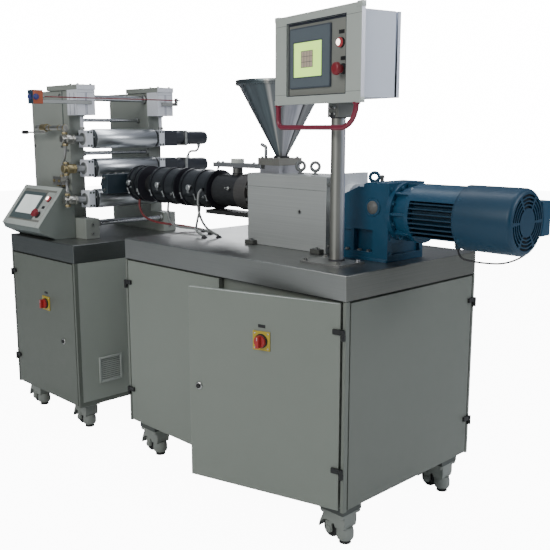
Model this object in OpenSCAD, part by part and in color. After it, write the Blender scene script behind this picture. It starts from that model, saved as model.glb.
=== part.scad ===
/* [Extruder cabinet] */
// Length of the extruder cabinet and its table
ext_len = 1145; // [950:1:1400]
// Depth of the extruder cabinet and its table
ext_depth = 692; // [600:1:850]
// Height of the extruder table's top above the floor
ext_table_h = 886; // [800:1:1000]
// Height of the steel skirt of both tables
skirt_h = 80; // [60:1:100]
// Height of the dark spacers between the casters and the extruder cabinet
ext_spacer_h = 31; // [15:1:60]
// Angle at which the right-hand door stands ajar
ajar = 16; // [0:1:90]

/* [Roll cabinet] */
// Length of the roll cabinet along the line
roll_cab_len = 560; // [480:1:620]
// Depth of the roll cabinet across the line
roll_cab_depth = 772; // [700:1:900]
// How much lower the roll table stands than the extruder's
table_drop = 60; // [0:1:120]
// Gap between the two cabinets
unit_gap = 325; // [250:1:400]

/* [Doors] */
// Thickness of a door
door_t = 18; // [12:1:24]
// Running gap around a door
door_gap = 5; // [4:0.5:8]
// Width of a corner post's face
post_w = 12; // [10:1:16]
// Thickness of the cabinets' plain walls
wall_t = 6; // [3:1:12]
// Height of one half of a hinge
hinge_h = 16; // [12:1:24]
// Radius of a hinge knuckle
hinge_r = 6; // [5:0.5:7]

/* [Casters] */
// Height of a caster
caster_h = 110; // [95:1:130]
// Distance of a caster's centre from the cabinet's sides
caster_inset = 75; // [65:1:110]
// Diameter of a caster's wheel
wheel_d = 62; // [50:1:64]

/* [Drive] */
// Height of the extruder screw's axis above the table
axis_h = 182; // [160:1:210]
// How much lower the motor's axis lies than the screw's
motor_drop = 23; // [0:1:40]
// Length of the feed housing
feed_len = 394; // [320:1:440]
// Height of the feed housing
feed_h = 262; // [240:1:280]
// Width of the feed housing
feed_w = 166; // [150:1:220]
// Length of the gearbox
gear_len = 192; // [170:1:200]
// Height of the gearbox
gear_h = 253; // [245:1:280]
// Width of the gearbox
gear_w = 190; // [170:1:220]
// Diameter of the motor's finned body
motor_d = 188; // [170:1:200]
// Diameter of the fan cover
fan_d = 197; // [180:1:210]

/* [Barrel] */
// Diameter of the barrel
barrel_d = 84; // [60:1:96]
// Diameter of a heater band
band_d = 150; // [120:1:170]
// Length of a heater band
band_len = 176; // [140:1:190]
// Distance between the middles of two heater bands
band_pitch = 212; // [200:1:240]

/* [Hopper] */
// Radius of the hopper's rim
hopper_r = 167; // [130:1:200]
// Height of the hopper's rim above the table
hopper_top = 594; // [540:1:660]
// Diameter of the hopper's spout
spout_d = 40; // [30:1:60]

/* [Control panel] */
// Width of the control panel
panel_w = 453; // [380:1:500]
// Height of the control panel
panel_h = 276; // [240:1:330]
// Depth of the control panel
panel_d = 155; // [120:1:180]
// Height of the panel's underside above the table
panel_z = 498; // [440:1:560]
// Angle of the panel about its post
panel_turn = 11.8; // [0:0.1:30]
// Diameter of the panel's post
post_d = 46; // [40:1:60]

/* [Rolls] */
// Diameter of a chill roll
roll_d = 86; // [70:1:110]
// Length of a chill roll's face
roll_len = 320; // [280:1:360]
// Distance between the two lower rolls' axes
roll_pitch = 136; // [120:1:150]
// Distance from the middle roll's axis to the upper roll's axis
upper_pitch = 128; // [120:1:150]
// Thickness of a side frame
frame_t = 70; // [40:2:90]
// Diameter of a servo gearmotor
servo_d = 62; // [50:1:70]
// Reach of the servo gearmotors beyond the machine's axis
servo_reach = 474; // [440:1:520]

/* [Hidden] */
$fn = 48;

// The line's own axes: X = 0 at the extruder table's motor end, Y = 0 on the screw's axis
table_half = ext_depth / 2;
roll_half = roll_cab_depth / 2;
roll_x1 = -ext_len - unit_gap;
roll_x0 = roll_x1 - roll_cab_len;
ext_floor = caster_h + ext_spacer_h;
ext_top = ext_table_h - skirt_h;
roll_table_h = ext_table_h - table_drop;
plate_t = 3;
roll_floor = caster_h + plate_t;
roll_top = roll_table_h - skirt_h + 2;
slab_t = 20;
axis_z = ext_table_h + axis_h;
motor_z = axis_z - motor_drop;

// Doors and hinges
leaf_t = 4;
pivot_out = hinge_r;
door_clear = post_w + door_gap;
ext_door_w = (ext_len - 2 * door_clear - 8) / 2;
ext_door_z0 = ext_floor + door_gap;
ext_door_z1 = ext_top - door_gap;
roll_door_z0 = roll_floor + door_gap;
roll_door_z1 = roll_top - door_gap;
hinge_low = 112;
hinge_high = 115;
ext_hinges = [ext_floor + hinge_low, ext_top - hinge_high];
roll_hinges = [roll_floor + hinge_low, roll_top - hinge_high];
front_y = -table_half;
right_pivot = [-pivot_out, front_y - pivot_out];
left_pivot = [-ext_len + pivot_out, front_y - pivot_out];
end_pivot = [pivot_out, table_half - pivot_out];
roll_pivot = [roll_x0 + pivot_out, -roll_half - pivot_out];

// Drive train along the screw's axis
gear_x1 = -60;
gear_x0 = gear_x1 - gear_len;
coupling_len = 70;
feed_x1 = gear_x0 - coupling_len;
feed_x0 = feed_x1 - feed_len;
bell_len = 84;
motor_x0 = gear_x1 + bell_len;
motor_x1 = 184;
fan_x1 = 360;
dome_x1 = 375;
box_x0 = 268;
box_len = 104;
box_h = 105;
box_d = 46;
box_y0 = fan_d / 2 - 8;
box_z0 = motor_z - 50;
gland_r = 11;
motor_gland = [150, 0, motor_z - 97];
box_gland = [box_x0 + 72, box_y0 + 31, box_z0];

// Barrel, bands and die
band_x = feed_x0 - 336;
band_count = 3;
die_x1 = roll_x1 - 75;
die_len = 55;
die_w = roll_len;
die_h = 86;
barrel_end = die_x1;
rear_r = 64;

// Hopper
hopper_x = feed_x0 + 96;
base_h = 55;
base_top = ext_table_h + feed_h + base_h;
hopper_z = ext_table_h + hopper_top;
rim_h = 18;
cone_z = base_top + 10;
rim_w = 14;
hopper_t = 3;
drain_x = feed_x0 - 148;

// Control panel
post_x = -188;
post_y = -178;
panel_front_y = -75;
panel_left = -250;
frame_ply = 14;
back_ply = 12;
back_gap = 7;

// Rolls
roll_x = roll_x1 - 180;
lower_z = axis_z - roll_pitch / 2;
middle_z = axis_z + roll_pitch / 2;
upper_z = middle_z + upper_pitch;
roll_zs = [lower_z, middle_z, upper_z];
end_flange_t = 12;
frame_y = roll_len / 2 + 16;
frame_x0 = roll_x0 + 2;
column_x1 = roll_x0 + 330;
stand_x1 = roll_x + 55;
frame_top = ext_table_h + 588;
cylinder_z = ext_table_h + 480;
foot_top = roll_table_h + 90;
block_half = 38;
block_t = 35;
block_x0 = roll_x - 32;
block_x1 = roll_x + 32;
journal_r = 15;
servo_plate_y = frame_y + frame_t;
union_y = frame_y + frame_t + 10;
fitting_y = -union_y - 42;
fitting_h = 34;
stub_r = 9;
manifold = [roll_x - 140, -frame_y - frame_t - 42, roll_table_h + 236];
cylinder_box = [85, 88, frame_top - cylinder_z];
cap_plate = [171, 22];
rope_x = roll_x + 72;
rope_z = ext_table_h + 552;
rope_y0 = -442;
rope_y1 = 262;

// Console
console_x0 = roll_x0 + 12;
console_w = 338;
console_top = [-300, roll_table_h + 224];
console_low = [-428, roll_table_h + 58];

// Overall size, and the shift that puts the origin under its middle
free_edge = ext_door_w + door_clear - pivot_out;
door_reach = free_edge * sin(ajar) - pivot_out * cos(ajar);
line_y0 = front_y - pivot_out - door_reach;
line_y1 = servo_reach;
line_shift = [-(roll_x0 + dome_x1) / 2, -(line_y0 + line_y1) / 2, 0];

// Routes of the cables and hoses, in the line's own axes
motor_cable_pts = [motor_gland, motor_gland + [2, 1, -16], motor_gland + [13, 4, -30],
                   motor_gland + [34, 10, -35.5], motor_gland + [80, 22, -39],
                   motor_gland + [131, 40, -36], motor_gland + [166, 72, -20],
                   motor_gland + [185, 103, 7], box_gland];
servo_up = [roll_x, 440, upper_z - servo_d / 2 - 7];
servo_down = [roll_x, 372, middle_z + servo_d / 2 + 7];
servo_cable_pts = [servo_up, servo_up + [0, -4.9, -15.5], servo_up + [0, -17.8, -25.4],
                   (servo_up + servo_down) / 2, servo_down + [0, 17.8, 25.4],
                   servo_down + [0, 4.9, 15.5], servo_down];
band_foot = axis_z - 68;
foot_z = ext_table_h + 8;
heater_cable_pts = [[[band_x, -40, band_foot], [band_x + 3, -48, band_foot - 28],
                     [band_x + 16, -70, ext_table_h + 48], [band_x + 44, -96, ext_table_h + 25],
                     [band_x + 84, -114, ext_table_h + 16], [band_x + 122, -120, foot_z]],
                    [[band_x + 67, -86, axis_z + 2], [band_x + 80, -110, axis_z - 12],
                     [band_x + 92, -124, axis_z - 48], [band_x + 99, -122, axis_z - 92],
                     [band_x + 110, -108, ext_table_h + 50], [band_x + 128, -90, ext_table_h + 24],
                     [band_x + 152, -70, foot_z]],
                    [[band_x - band_pitch, -40, band_foot], [band_x - band_pitch + 6, -48, band_foot - 36],
                     [band_x - 180, -58, ext_table_h + 42], [band_x - 128, -60, ext_table_h + 20],
                     [band_x - 8, -44, ext_table_h + 17], [band_x + 52, -30, foot_z]],
                    [[band_x - 2 * band_pitch, -40, band_foot],
                     [band_x - 2 * band_pitch + 8, -46, band_foot - 34],
                     [band_x - 376, -50, ext_table_h + 42], [band_x - 278, -50, ext_table_h + 24],
                     [band_x - 128, -24, ext_table_h + 19], [band_x - 38, 10, foot_z]]];
// Each hose bends twice on the way from its union to the manifold
hose_top = [roll_x, fitting_y, upper_z - fitting_h];
hose_end = manifold + [54, 17, 50];
hose_low = [roll_x, fitting_y, lower_z + fitting_h];
function between(a, b, across, down) = [a[0] + (b[0] - a[0]) * across, a[1] + (b[1] - a[1]) * across,
    a[2] + (b[2] - a[2]) * down];
hose_pts = [[hose_top, between(hose_top, hose_end, 0.063, 0.219), between(hose_top, hose_end, 0.242, 0.396),
             between(hose_top, hose_end, 0.5, 0.5), between(hose_top, hose_end, 0.758, 0.604),
             between(hose_top, hose_end, 0.937, 0.781), hose_end],
            [hose_low, hose_low + [-3.5, 2, 17.6], hose_low + [-13.5, 7, 32.5],
             hose_low + [-28.4, 16, 42.5], hose_low + [-46, 25, 46], manifold + [76, 21, 18]]];

// Puts a piece that is drawn in the line's own axes into the part's axes
module on_line() translate(line_shift) children();

// A box from one corner to the opposite one
module box(from, to) translate(from) cube(to - from);

// A cylinder along X, from x0 to x1
module rod_x(x0, x1, r, y = 0, z = axis_z) translate([x0, y, z]) rotate([0, 90, 0])
    cylinder(h = x1 - x0, r = r);

// A cylinder along Y, from y0 to y1
module rod_y(y0, y1, r, x, z) translate([x, y1, z]) rotate([90, 0, 0]) cylinder(h = y1 - y0, r = r);

// The right-hand door's place, turned about its hinge by the angle it stands ajar
module door_ajar() translate([right_pivot[0], right_pivot[1], 0]) rotate(ajar)
    translate([-right_pivot[0], -right_pivot[1], 0]) children();

// The control panel's own axes: Z = 0 at its underside, on the post's axis
module on_panel() translate([post_x, post_y, ext_table_h + panel_z]) rotate(-panel_turn) children();

// Cords: a smooth curve through the points, swept by a ring of eight
function curve(a, b, c, d, t) = 0.5 * (2 * b + (c - a) * t + (2 * a - 5 * b + 4 * c - d) * t * t
    + (3 * b - a - 3 * c + d) * t * t * t);
function smooth(p, n) = [for (i = [0 : len(p) - 2], s = [0 : n - 1])
    curve(p[max(i - 1, 0)], p[i], p[i + 1], p[min(i + 2, len(p) - 1)], s / n), p[len(p) - 1]];
function heading(p, i) = p[min(i + 1, len(p) - 1)] - p[max(i - 1, 0)];
function ring(p, i, r) = let(t = heading(p, i) / norm(heading(p, i)), a = cross(t, [1, 0.37, 0.11]),
    n = a / norm(a), b = cross(t, n)) [for (k = [0 : 7]) p[i] + r * (cos(45 * k) * n + sin(45 * k) * b)];
module cord(points, r, n = 2) {
    path = smooth(points, n);
    last = len(path) - 1;
    polyhedron(points = [for (i = [0 : last]) each ring(path, i, r)],
        faces = concat([[for (k = [0 : 7]) k], [for (k = [0 : 7]) last * 8 + 7 - k]],
            [for (i = [0 : last - 1], k = [0 : 7])
                [i * 8 + k, i * 8 + 8 + k, i * 8 + 8 + (k + 1) % 8, i * 8 + (k + 1) % 8]]));
}

// Cabinets
module cabinet_frame(x0, x1, half, z0, z1) {
    inner = 35;
    back = door_t + door_gap;
    box([x0, -half, z0], [x1, half, z0 + slab_t]);
    for (x = [x0, x1 - post_w]) {
        box([x, -half, z0], [x + post_w, -half + door_t, z1]);
        box([x, half - post_w, z0], [x + post_w, half, z1]);
    }
    for (x = [x0 + back, x1 - back - inner], y = [-half + back, half - back - inner])
        box([x, y, z0], [x + inner, y + inner, z1]);
    // The rail that the doors' top edges stand in front of
    box([x0 + back, -half + back, z1 - 42], [x1 - back, -half + back + 20, z1]);
}

module cabinet_wall_back(x0, x1, half, z0, z1)
    box([x0 + post_w, half - wall_t, z0 + slab_t], [x1 - post_w, half, z1]);

module extruder_frame() color("lightgray") on_line() difference() {
    union() {
        cabinet_frame(-ext_len, 0, table_half, ext_floor, ext_top);
        box([-ext_len / 2 - 20, front_y + door_t + door_gap, ext_floor],
            [-ext_len / 2 + 20, front_y + door_t + door_gap + 35, ext_top]);
    }
    // Rebates in the floor's edge, where the doors hang in front of it
    box([-ext_len + post_w, front_y - 1, ext_floor - 1],
        [-post_w, front_y + door_t + door_gap, ext_top]);
    box([-door_t - door_gap, front_y + door_t, ext_floor - 1],
        [1, table_half - post_w, ext_top]);
}

module extruder_walls() color("lightgray") on_line() {
    cabinet_wall_back(-ext_len, 0, table_half, ext_floor, ext_top);
    box([-ext_len, front_y + door_t, ext_floor + slab_t],
        [-ext_len + wall_t, table_half - post_w, ext_top]);
}

module extruder_table() color("silver") on_line()
    box([-ext_len, -table_half, ext_top], [0, table_half, ext_table_h]);

module roll_frame() color("lightgray") on_line() difference() {
    cabinet_frame(roll_x0, roll_x1, roll_half, roll_floor, roll_top);
    box([roll_x0 + post_w, -roll_half - 1, roll_floor - 1],
        [roll_x1 - post_w, -roll_half + door_t + door_gap, roll_top]);
}

module roll_walls() color("lightgray") on_line() {
    cabinet_wall_back(roll_x0, roll_x1, roll_half, roll_floor, roll_top);
    for (x = [roll_x0, roll_x1 - wall_t])
        box([x, -roll_half + door_t, roll_floor + slab_t],
            [x + wall_t, roll_half - post_w, roll_top]);
}

module roll_table() color("silver") on_line()
    box([roll_x0, -roll_half, roll_top], [roll_x1, roll_half, roll_table_h]);

module vent_grille() color("gray") on_line() {
    w = 116;
    h = 116;
    y0 = -roll_half + 101;
    z0 = roll_floor + 92;
    difference() {
        box([roll_x1, y0, z0], [roll_x1 + 6, y0 + w, z0 + h]);
        for (k = [0 : 6])
            box([roll_x1 + 2, y0 + 10, z0 + 12 + 14 * k], [roll_x1 + 7, y0 + w - 10, z0 + 18 + 14 * k]);
    }
}

// Hinges: the fixed half carries the pin, and the door's half turns on it
pin_r = 2.5;
module fixed_half(pivot, z, face) translate([pivot[0], pivot[1], z]) {
    cylinder(h = hinge_h, r = hinge_r);
    cylinder(h = 2 * hinge_h - 4, r = pin_r);
    rotate(face) box([-hinge_r, 0, 0], [hinge_r, pivot_out, hinge_h]);
}

// The door's half of a hinge: its leaf reaches from the knuckle over the door's face
module moving_half(pivot, z, way) translate([pivot[0], pivot[1], z + hinge_h]) rotate(way) difference() {
    union() {
        cylinder(h = hinge_h, r = hinge_r);
        box([0, -leaf_t / 2, 0], [34, leaf_t / 2, hinge_h]);
        box([door_clear - pivot_out, 0, 0], [34, pivot_out, hinge_h]);
    }
    translate([0, 0, -1]) cylinder(h = hinge_h + 2, r = pin_r + 0.1);
}

module hinge_brackets() color("dimgray") on_line() {
    for (z = ext_hinges) {
        fixed_half(left_pivot, z, 0);
        fixed_half(right_pivot, z, 0);
        fixed_half(end_pivot, z, 90);
    }
    for (z = roll_hinges) fixed_half(roll_pivot, z, 0);
}

module left_door() color("lightgray") on_line() {
    box([-ext_len + door_clear, front_y, ext_door_z0],
        [-ext_len + door_clear + ext_door_w, front_y + door_t, ext_door_z1]);
    for (z = ext_hinges) moving_half(left_pivot, z, 0);
}

module right_door() color("lightgray") on_line() door_ajar() {
    box([-door_clear - ext_door_w, front_y, ext_door_z0],
        [-door_clear, front_y + door_t, ext_door_z1]);
    for (z = ext_hinges) mirror_leaf(right_pivot, z);
}

// A door's half hinge on its right-hand edge
module mirror_leaf(pivot, z) translate([pivot[0], 0, 0]) mirror([1, 0, 0])
    moving_half([0, pivot[1]], z, 0);

module end_door() color("lightgray") on_line() {
    box([-door_t, front_y + door_t + door_gap, ext_door_z0],
        [0, table_half - door_clear, ext_door_z1]);
    for (z = ext_hinges) translate([end_pivot[0], end_pivot[1], 0]) rotate(90)
        mirror([1, 0, 0]) moving_half([0, 0], z, 0);
}

module roll_door() color("lightgray") on_line() {
    box([roll_x0 + door_clear, -roll_half, roll_door_z0],
        [roll_x1 - door_clear, -roll_half + door_t, roll_door_z1]);
    for (z = roll_hinges) moving_half(roll_pivot, z, 0);
}

// Main switches and locks on the doors
switch_plate = 62;
plate_ply = 4;
knob_len = 22;
knob_gap = 0.5;
ext_switch_x = -door_clear - 271;
ext_switch_z = 653;
roll_switch_x = -1721;
roll_switch_z = 542;

module switch_plate_at(x, y, z) {
    box([x - switch_plate / 2, y - plate_ply, z - switch_plate / 2],
        [x + switch_plate / 2, y, z + switch_plate / 2]);
    rod_y(y - plate_ply - 6, y - plate_ply, 23, x, z);
}

module switch_knob_at(x, y, z) {
    face = y - plate_ply - 6 - knob_gap;
    rod_y(face - 8, face, 20, x, z);
    box([x - 6, face - knob_len, z - 19], [x + 6, face - 8, z + 19]);
}

module extruder_switch_plate() color("gold") on_line() door_ajar()
    switch_plate_at(ext_switch_x, front_y, ext_switch_z);

module extruder_switch_knob() color("red") on_line() door_ajar()
    switch_knob_at(ext_switch_x, front_y, ext_switch_z);

module roll_switch_plate() color("gold") on_line()
    switch_plate_at(roll_switch_x, -roll_half, roll_switch_z);

module roll_switch_knob() color("red") on_line()
    switch_knob_at(roll_switch_x, -roll_half, roll_switch_z);

lock_r = 13;
module lock_at(x, y, z) {
    rod_y(y - 5, y, lock_r, x, z);
    rod_y(y - 11, y - 5, lock_r - 5, x, z);
}

module right_door_lock() color("black") on_line() door_ajar()
    lock_at(-door_clear - ext_door_w + 55, front_y, 467);

module roll_door_lock() color("black") on_line()
    lock_at(roll_x1 - door_clear - 96, -roll_half, 392);

// Drive
adapter_w = 174;
module feed_housing() color("lightgray") on_line() {
    box([feed_x0, -feed_w / 2, ext_table_h], [feed_x1, feed_w / 2, ext_table_h + feed_h]);
    rod_x(feed_x1, gear_x0, 58);
    box([gear_x0 - 48, -adapter_w / 2, axis_z - 92], [gear_x0 - 28, adapter_w / 2, axis_z + 92]);
    for (x = [feed_x0 + 30, feed_x1 - 30])
        box([x - 22, -feed_w / 2 - 24, ext_table_h], [x + 22, feed_w / 2 + 24, ext_table_h + 16]);
}

// An eye bolt, standing on the height z
module eye_bolt(x, y, z) translate([x, y, z]) {
    cylinder(h = 4, r = 11);
    cylinder(h = 14, r = 6);
    translate([0, 0, 28]) rotate([90, 0, 0]) rotate_extrude() translate([15, 0]) circle(r = 4.5, $fn = 24);
}

module lifting_eyes() color("dimgray") on_line() {
    for (x = [-522, -450]) eye_bolt(x, 0, ext_table_h + feed_h);
    eye_bolt(gear_x0 + 70, 0, ext_table_h + gear_h - 16);
}

gear_y0 = -80;
module gearbox() color("steelblue") on_line() {
    translate([0, gear_y0 + gear_w, ext_table_h]) rotate([90, 0, 0]) linear_extrude(gear_w) difference() {
        polygon([[gear_x0, 0], [gear_x1, 0], [gear_x1, gear_h], [gear_x0 + 106, gear_h],
                 [gear_x0 + 10, gear_h - 40], [gear_x0, gear_h - 52]]);
        translate([gear_x0 + 50, gear_h - 16]) square([40, 40]);
    }
    rod_y(gear_y0 - 4, gear_y0, 27, gear_x1 - 61, ext_table_h + 174);
}

// A bell between the gearbox and the finned motor, which has a plain top
module motor_body() color("steelblue") on_line() {
    r = motor_d / 2;
    rod_x(gear_x1, gear_x1 + 16, r, 0, motor_z);
    translate([gear_x1 + 16, 0, motor_z]) rotate([0, 90, 0])
        cylinder(h = bell_len - 16, r1 = r - 16, r2 = r - 2);
    rod_x(motor_x0 - 14, motor_x0, r, 0, motor_z);
    rod_x(motor_x0, motor_x1, r - 20, 0, motor_z);
    for (h = [-67 : 15 : 38]) {
        w = sqrt(r * r - h * h);
        box([motor_x0, -w, motor_z + h - 2], [motor_x1, w, motor_z + h + 2]);
    }
    intersection() {
        rod_x(motor_x0, motor_x1, r, 0, motor_z);
        box([motor_x0, -r, motor_z + 46], [motor_x1, r, motor_z + r]);
    }
    translate(motor_gland) cylinder(h = 30, r = gland_r);
}

module fan_cover() color("steelblue") on_line() translate([motor_x1, 0, motor_z]) rotate([0, 90, 0])
    rotate_extrude($fn = 72) polygon(concat([[0, 0], [fan_d / 2, 0], [fan_d / 2, fan_x1 - motor_x1]],
        [for (a = [15 : 15 : 90]) [fan_d / 2 - (dome_x1 - fan_x1) * (1 - cos(a)),
            fan_x1 - motor_x1 + (dome_x1 - fan_x1) * sin(a)]],
        [[0, dome_x1 - motor_x1]]));

module terminal_box() color("steelblue") on_line() difference() {
    union() {
        box([box_x0, box_y0, box_z0], [box_x0 + box_len, box_y0 + box_d + 8, box_z0 + box_h]);
        translate(box_gland) cylinder(h = 20, r = gland_r);
    }
    translate([motor_x1, 0, motor_z]) rotate([0, 90, 0]) cylinder(h = 300, r = fan_d / 2 + 0.2, $fn = 72);
}

module motor_cable() color("dimgray") on_line() cord(motor_cable_pts, 3);

// Barrel
module barrel() color("darkgray") on_line() {
    difference() {
        union() {
            rod_x(barrel_end, feed_x0, barrel_d / 2);
            rod_x(feed_x0 - 34, feed_x0, 54);
            rod_x(feed_x0 - 98, feed_x0 - 34, 70);
            rod_x(feed_x0 - 236, feed_x0 - 98, rear_r);
            rod_x(barrel_end, barrel_end + 18, 56);
        }
        rod_x(barrel_end - 1, feed_x0 - 60, 15);
    }
    // A flat bar under the barrel, from the housing to the bands
    box([feed_x0 - 300, -40, axis_z - 96], [feed_x0, 40, axis_z - 80]);
}

module heater_bands() color("#2a2d33") on_line() difference() {
    for (k = [0 : band_count - 1]) {
        mid = band_x - band_pitch * k;
        half = k == band_count - 1 ? band_len / 4 : band_len / 2;
        rod_x(mid - half, mid + half, band_d / 2);
        for (x = [mid - half, mid, mid + half - 14]) rod_x(x, x + 14, band_d / 2 + 4);
        rod_y(-band_d / 2 - 10, 0, 11, mid - 20, axis_z + 6);
        translate([mid, -40, band_foot]) cylinder(h = 40, r = 8);
    }
    rod_y(-86, 0, 8, band_x + 67, axis_z + 2);
    rod_x(barrel_end, feed_x0, barrel_d / 2);
}

module cable_grommets() color("#222222") on_line()
    for (route = heater_cable_pts) {
        foot = route[len(route) - 1];
        translate([foot[0], foot[1], ext_table_h]) cylinder(h = 8, r = 11);
    }

module heater_cables() color("dimgray") on_line()
    for (k = [0 : len(heater_cable_pts) - 1]) cord(heater_cable_pts[k], 5);

module die() color("#3a4250") on_line() {
    translate([0, die_w / 2, 0]) rotate([90, 0, 0]) linear_extrude(die_w)
        polygon([[die_x1, axis_z - die_h / 2], [die_x1, axis_z + die_h / 2],
                 [die_x1 - die_len + 18, axis_z + die_h / 2], [die_x1 - die_len, axis_z + 10],
                 [die_x1 - die_len, axis_z - 10], [die_x1 - die_len + 18, axis_z - die_h / 2]]);
}

// Hopper and its slide
lever_r = 4;
tube_r = 20;
module hopper() color("#4f6f80") on_line() translate([hopper_x, 0, 0]) {
    top = hopper_z;
    s = spout_d / 2;
    r = hopper_r - rim_w;
    rotate_extrude($fn = 96) polygon([[s, base_top], [s, cone_z], [r, top - rim_h], [r, top],
        [hopper_r, top], [hopper_r, top - rim_h], [r + hopper_t, top - rim_h],
        [s + hopper_t, cone_z], [s + hopper_t, base_top]]);
}

module hopper_base() color("lightgray") on_line() difference() {
    low = ext_table_h + feed_h;
    union() {
        box([hopper_x - 58, -56, low], [hopper_x + 42, 56, base_top - 26]);
        box([hopper_x - 64, -60, base_top - 26], [hopper_x + 46, 60, base_top]);
        box([drain_x - 121, -24, low + 12], [hopper_x - 58, 24, low + 29]);
        // The slide's lever, and a short one at the bar's free end
        translate([hopper_x - 31, -50, base_top]) cylinder(h = 40, r = lever_r);
        translate([hopper_x - 31, -50, base_top + 40]) sphere(r = lever_r + 1.5);
        translate([hopper_x - 31, -50, base_top + 40]) rotate([0, -70, 0]) cylinder(h = 24, r = lever_r);
        translate([drain_x - 113, 0, low + 12]) rotate([0, 215, 0]) cylinder(h = 14, r = lever_r);
    }
    translate([hopper_x, 0, ext_table_h + feed_h - 1]) cylinder(h = base_h + 9, r = spout_d / 2);
    translate([drain_x, 0, low]) cylinder(h = 40, r = tube_r + 0.1);
}

module drain_tube() color("gainsboro") on_line() {
    low = ext_table_h + feed_h;
    difference() {
        translate([drain_x, 0, axis_z]) cylinder(h = low + 29 - axis_z, r = tube_r);
        rod_x(drain_x - 100, drain_x + 100, rear_r + 0.2);
    }
    translate([drain_x, 0, low + 29]) cylinder(h = 16, r = tube_r + 6);
}

// Control panel on its post
pin_top_r = 14;
foot_plate = [[-84, -84, 0], [84, 40, 6]];
module panel_post() color("silver") on_line() translate([post_x, post_y, ext_table_h]) {
    box(foot_plate[0], foot_plate[1]);
    cylinder(h = panel_z - 42, r = post_d / 2);
    for (x = [foot_plate[0].x + 14, foot_plate[1].x - 14])
        for (y = [foot_plate[0].y + 14, foot_plate[1].y - 14])
            translate([x, y, foot_plate[1].z]) cylinder(h = 7, r = 7);
    cylinder(h = panel_z - 4, r = pin_top_r);
}

clamp_drop = 41;
case_v = [14, 259];
module panel_case() color("gainsboro") on_line() on_panel() {
    back = panel_front_y + panel_d;
    left = panel_left + 12;
    right = panel_left + panel_w - 12;
    box([left, panel_front_y + frame_ply, case_v[0]], [right, back - back_ply - back_gap, case_v[1]]);
    box([left + 10, back - back_ply - back_gap, case_v[0] + 10],
        [right - 10, back - back_ply, case_v[1] - 10]);
    box([left, back - back_ply, case_v[0]], [right, back, case_v[1]]);
    difference() {
        box([-28, -22, -clamp_drop], [28, 38, case_v[0]]);
        translate([0, 0, -clamp_drop - 1]) cylinder(h = clamp_drop - 3, r = pin_top_r + 0.3);
    }
}

recess_s = [70, 381];
recess_v = [27, 250];
recess_d = 8;
hmi_s = [84, 302];
hmi_v = [49, 234];
lit_s = [110, 258];
lit_v = [84, 188];
module panel_front() color("silver") on_line() on_panel() difference() {
    box([panel_left, panel_front_y, 0], [panel_left + panel_w, panel_front_y + frame_ply, panel_h]);
    box([panel_left + recess_s[0], panel_front_y - 1, recess_v[0]],
        [panel_left + recess_s[1], panel_front_y + recess_d, recess_v[1]]);
}

pilot_s = 350;
estop_s = 360;
pilot_v = 173;
estop_v = 97;
module panel_controls() color("red") on_line() on_panel() {
    seat = panel_front_y + recess_d;
    difference() {
        box([panel_left + hmi_s[0], seat - 6, hmi_v[0]], [panel_left + hmi_s[1], seat, hmi_v[1]]);
        box([panel_left + lit_s[0], seat - 7, lit_v[0]], [panel_left + lit_s[1], seat - 4, lit_v[1]]);
    }
    rod_y(seat - 5, seat, 14, panel_left + pilot_s, pilot_v);
    rod_y(seat - 14, seat - 5, 11, panel_left + pilot_s, pilot_v);
    rod_y(seat - 6, seat, 15, panel_left + estop_s, estop_v);
    rod_y(seat - 20, seat - 6, 11, panel_left + estop_s, estop_v);
    rod_y(seat - 34, seat - 20, 19, panel_left + estop_s, estop_v);
    for (v = [pilot_v, estop_v])
        box([panel_left + pilot_s - 13, seat - 1, v + 24], [panel_left + pilot_s + 13, seat, v + 36]);
}

handle_r = 8;
handle_drop = 80;
handle_y = panel_front_y + 8;
handle_x = [panel_left + 8, panel_left + 425];
bend_r = 72;
module grab_handle() color("darkred") on_line() on_panel() {
    left = handle_x[0];
    right = handle_x[1];
    low = -handle_drop + handle_r;
    small = 24;
    translate([left, handle_y, low + small]) cylinder(h = -low - small, r = handle_r);
    rod_x(left + small, right - bend_r, handle_r, handle_y, low);
    translate([left + small, handle_y, low + small]) rotate([90, 180, 0])
        rotate_extrude(angle = 90) translate([small, 0]) circle(r = handle_r, $fn = 24);
    translate([right - bend_r, handle_y, low + bend_r]) rotate([90, 90, 0])
        rotate_extrude(angle = 90) translate([bend_r, 0]) circle(r = handle_r, $fn = 24);
}

// Roll stand
module both_sides() {
    children();
    mirror([0, 1, 0]) children();
}

module side_frames() color("gainsboro") on_line() both_sides()
    translate([0, frame_y + frame_t, 0]) rotate([90, 0, 0]) linear_extrude(frame_t)
        polygon([[frame_x0, roll_table_h], [stand_x1, roll_table_h], [stand_x1, foot_top],
                 [column_x1, foot_top], [column_x1, frame_top], [frame_x0, frame_top]]);

module tie_bars() color("silver") on_line() {
    rod_y(-frame_y, frame_y, 14, column_x1 - 24, frame_top - 30);
    rod_y(-frame_y, frame_y, 8, column_x1 - 80, cylinder_z - 20);
    rod_y(-frame_y, frame_y, 8, column_x1 - 60, roll_table_h + 56);
    rod_y(-frame_y, frame_y, 10, stand_x1 - 20, roll_table_h + 66);
    rod_y(-frame_y, frame_y, 9, column_x1 - 12, (upper_z + middle_z) / 2);
}

module bearing_blocks() color("lavender") on_line() both_sides()
    for (z = roll_zs) difference() {
        union() {
            box([block_x0, frame_y, z - block_half], [block_x1, frame_y + block_t, z + block_half]);
            box([column_x1, frame_y + 4, z - 26], [block_x0, frame_y + block_t - 4, z + 26]);
        }
        rod_y(frame_y - 1, frame_y + block_t + 1, journal_r + 0.1, roll_x, z);
    }

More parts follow.
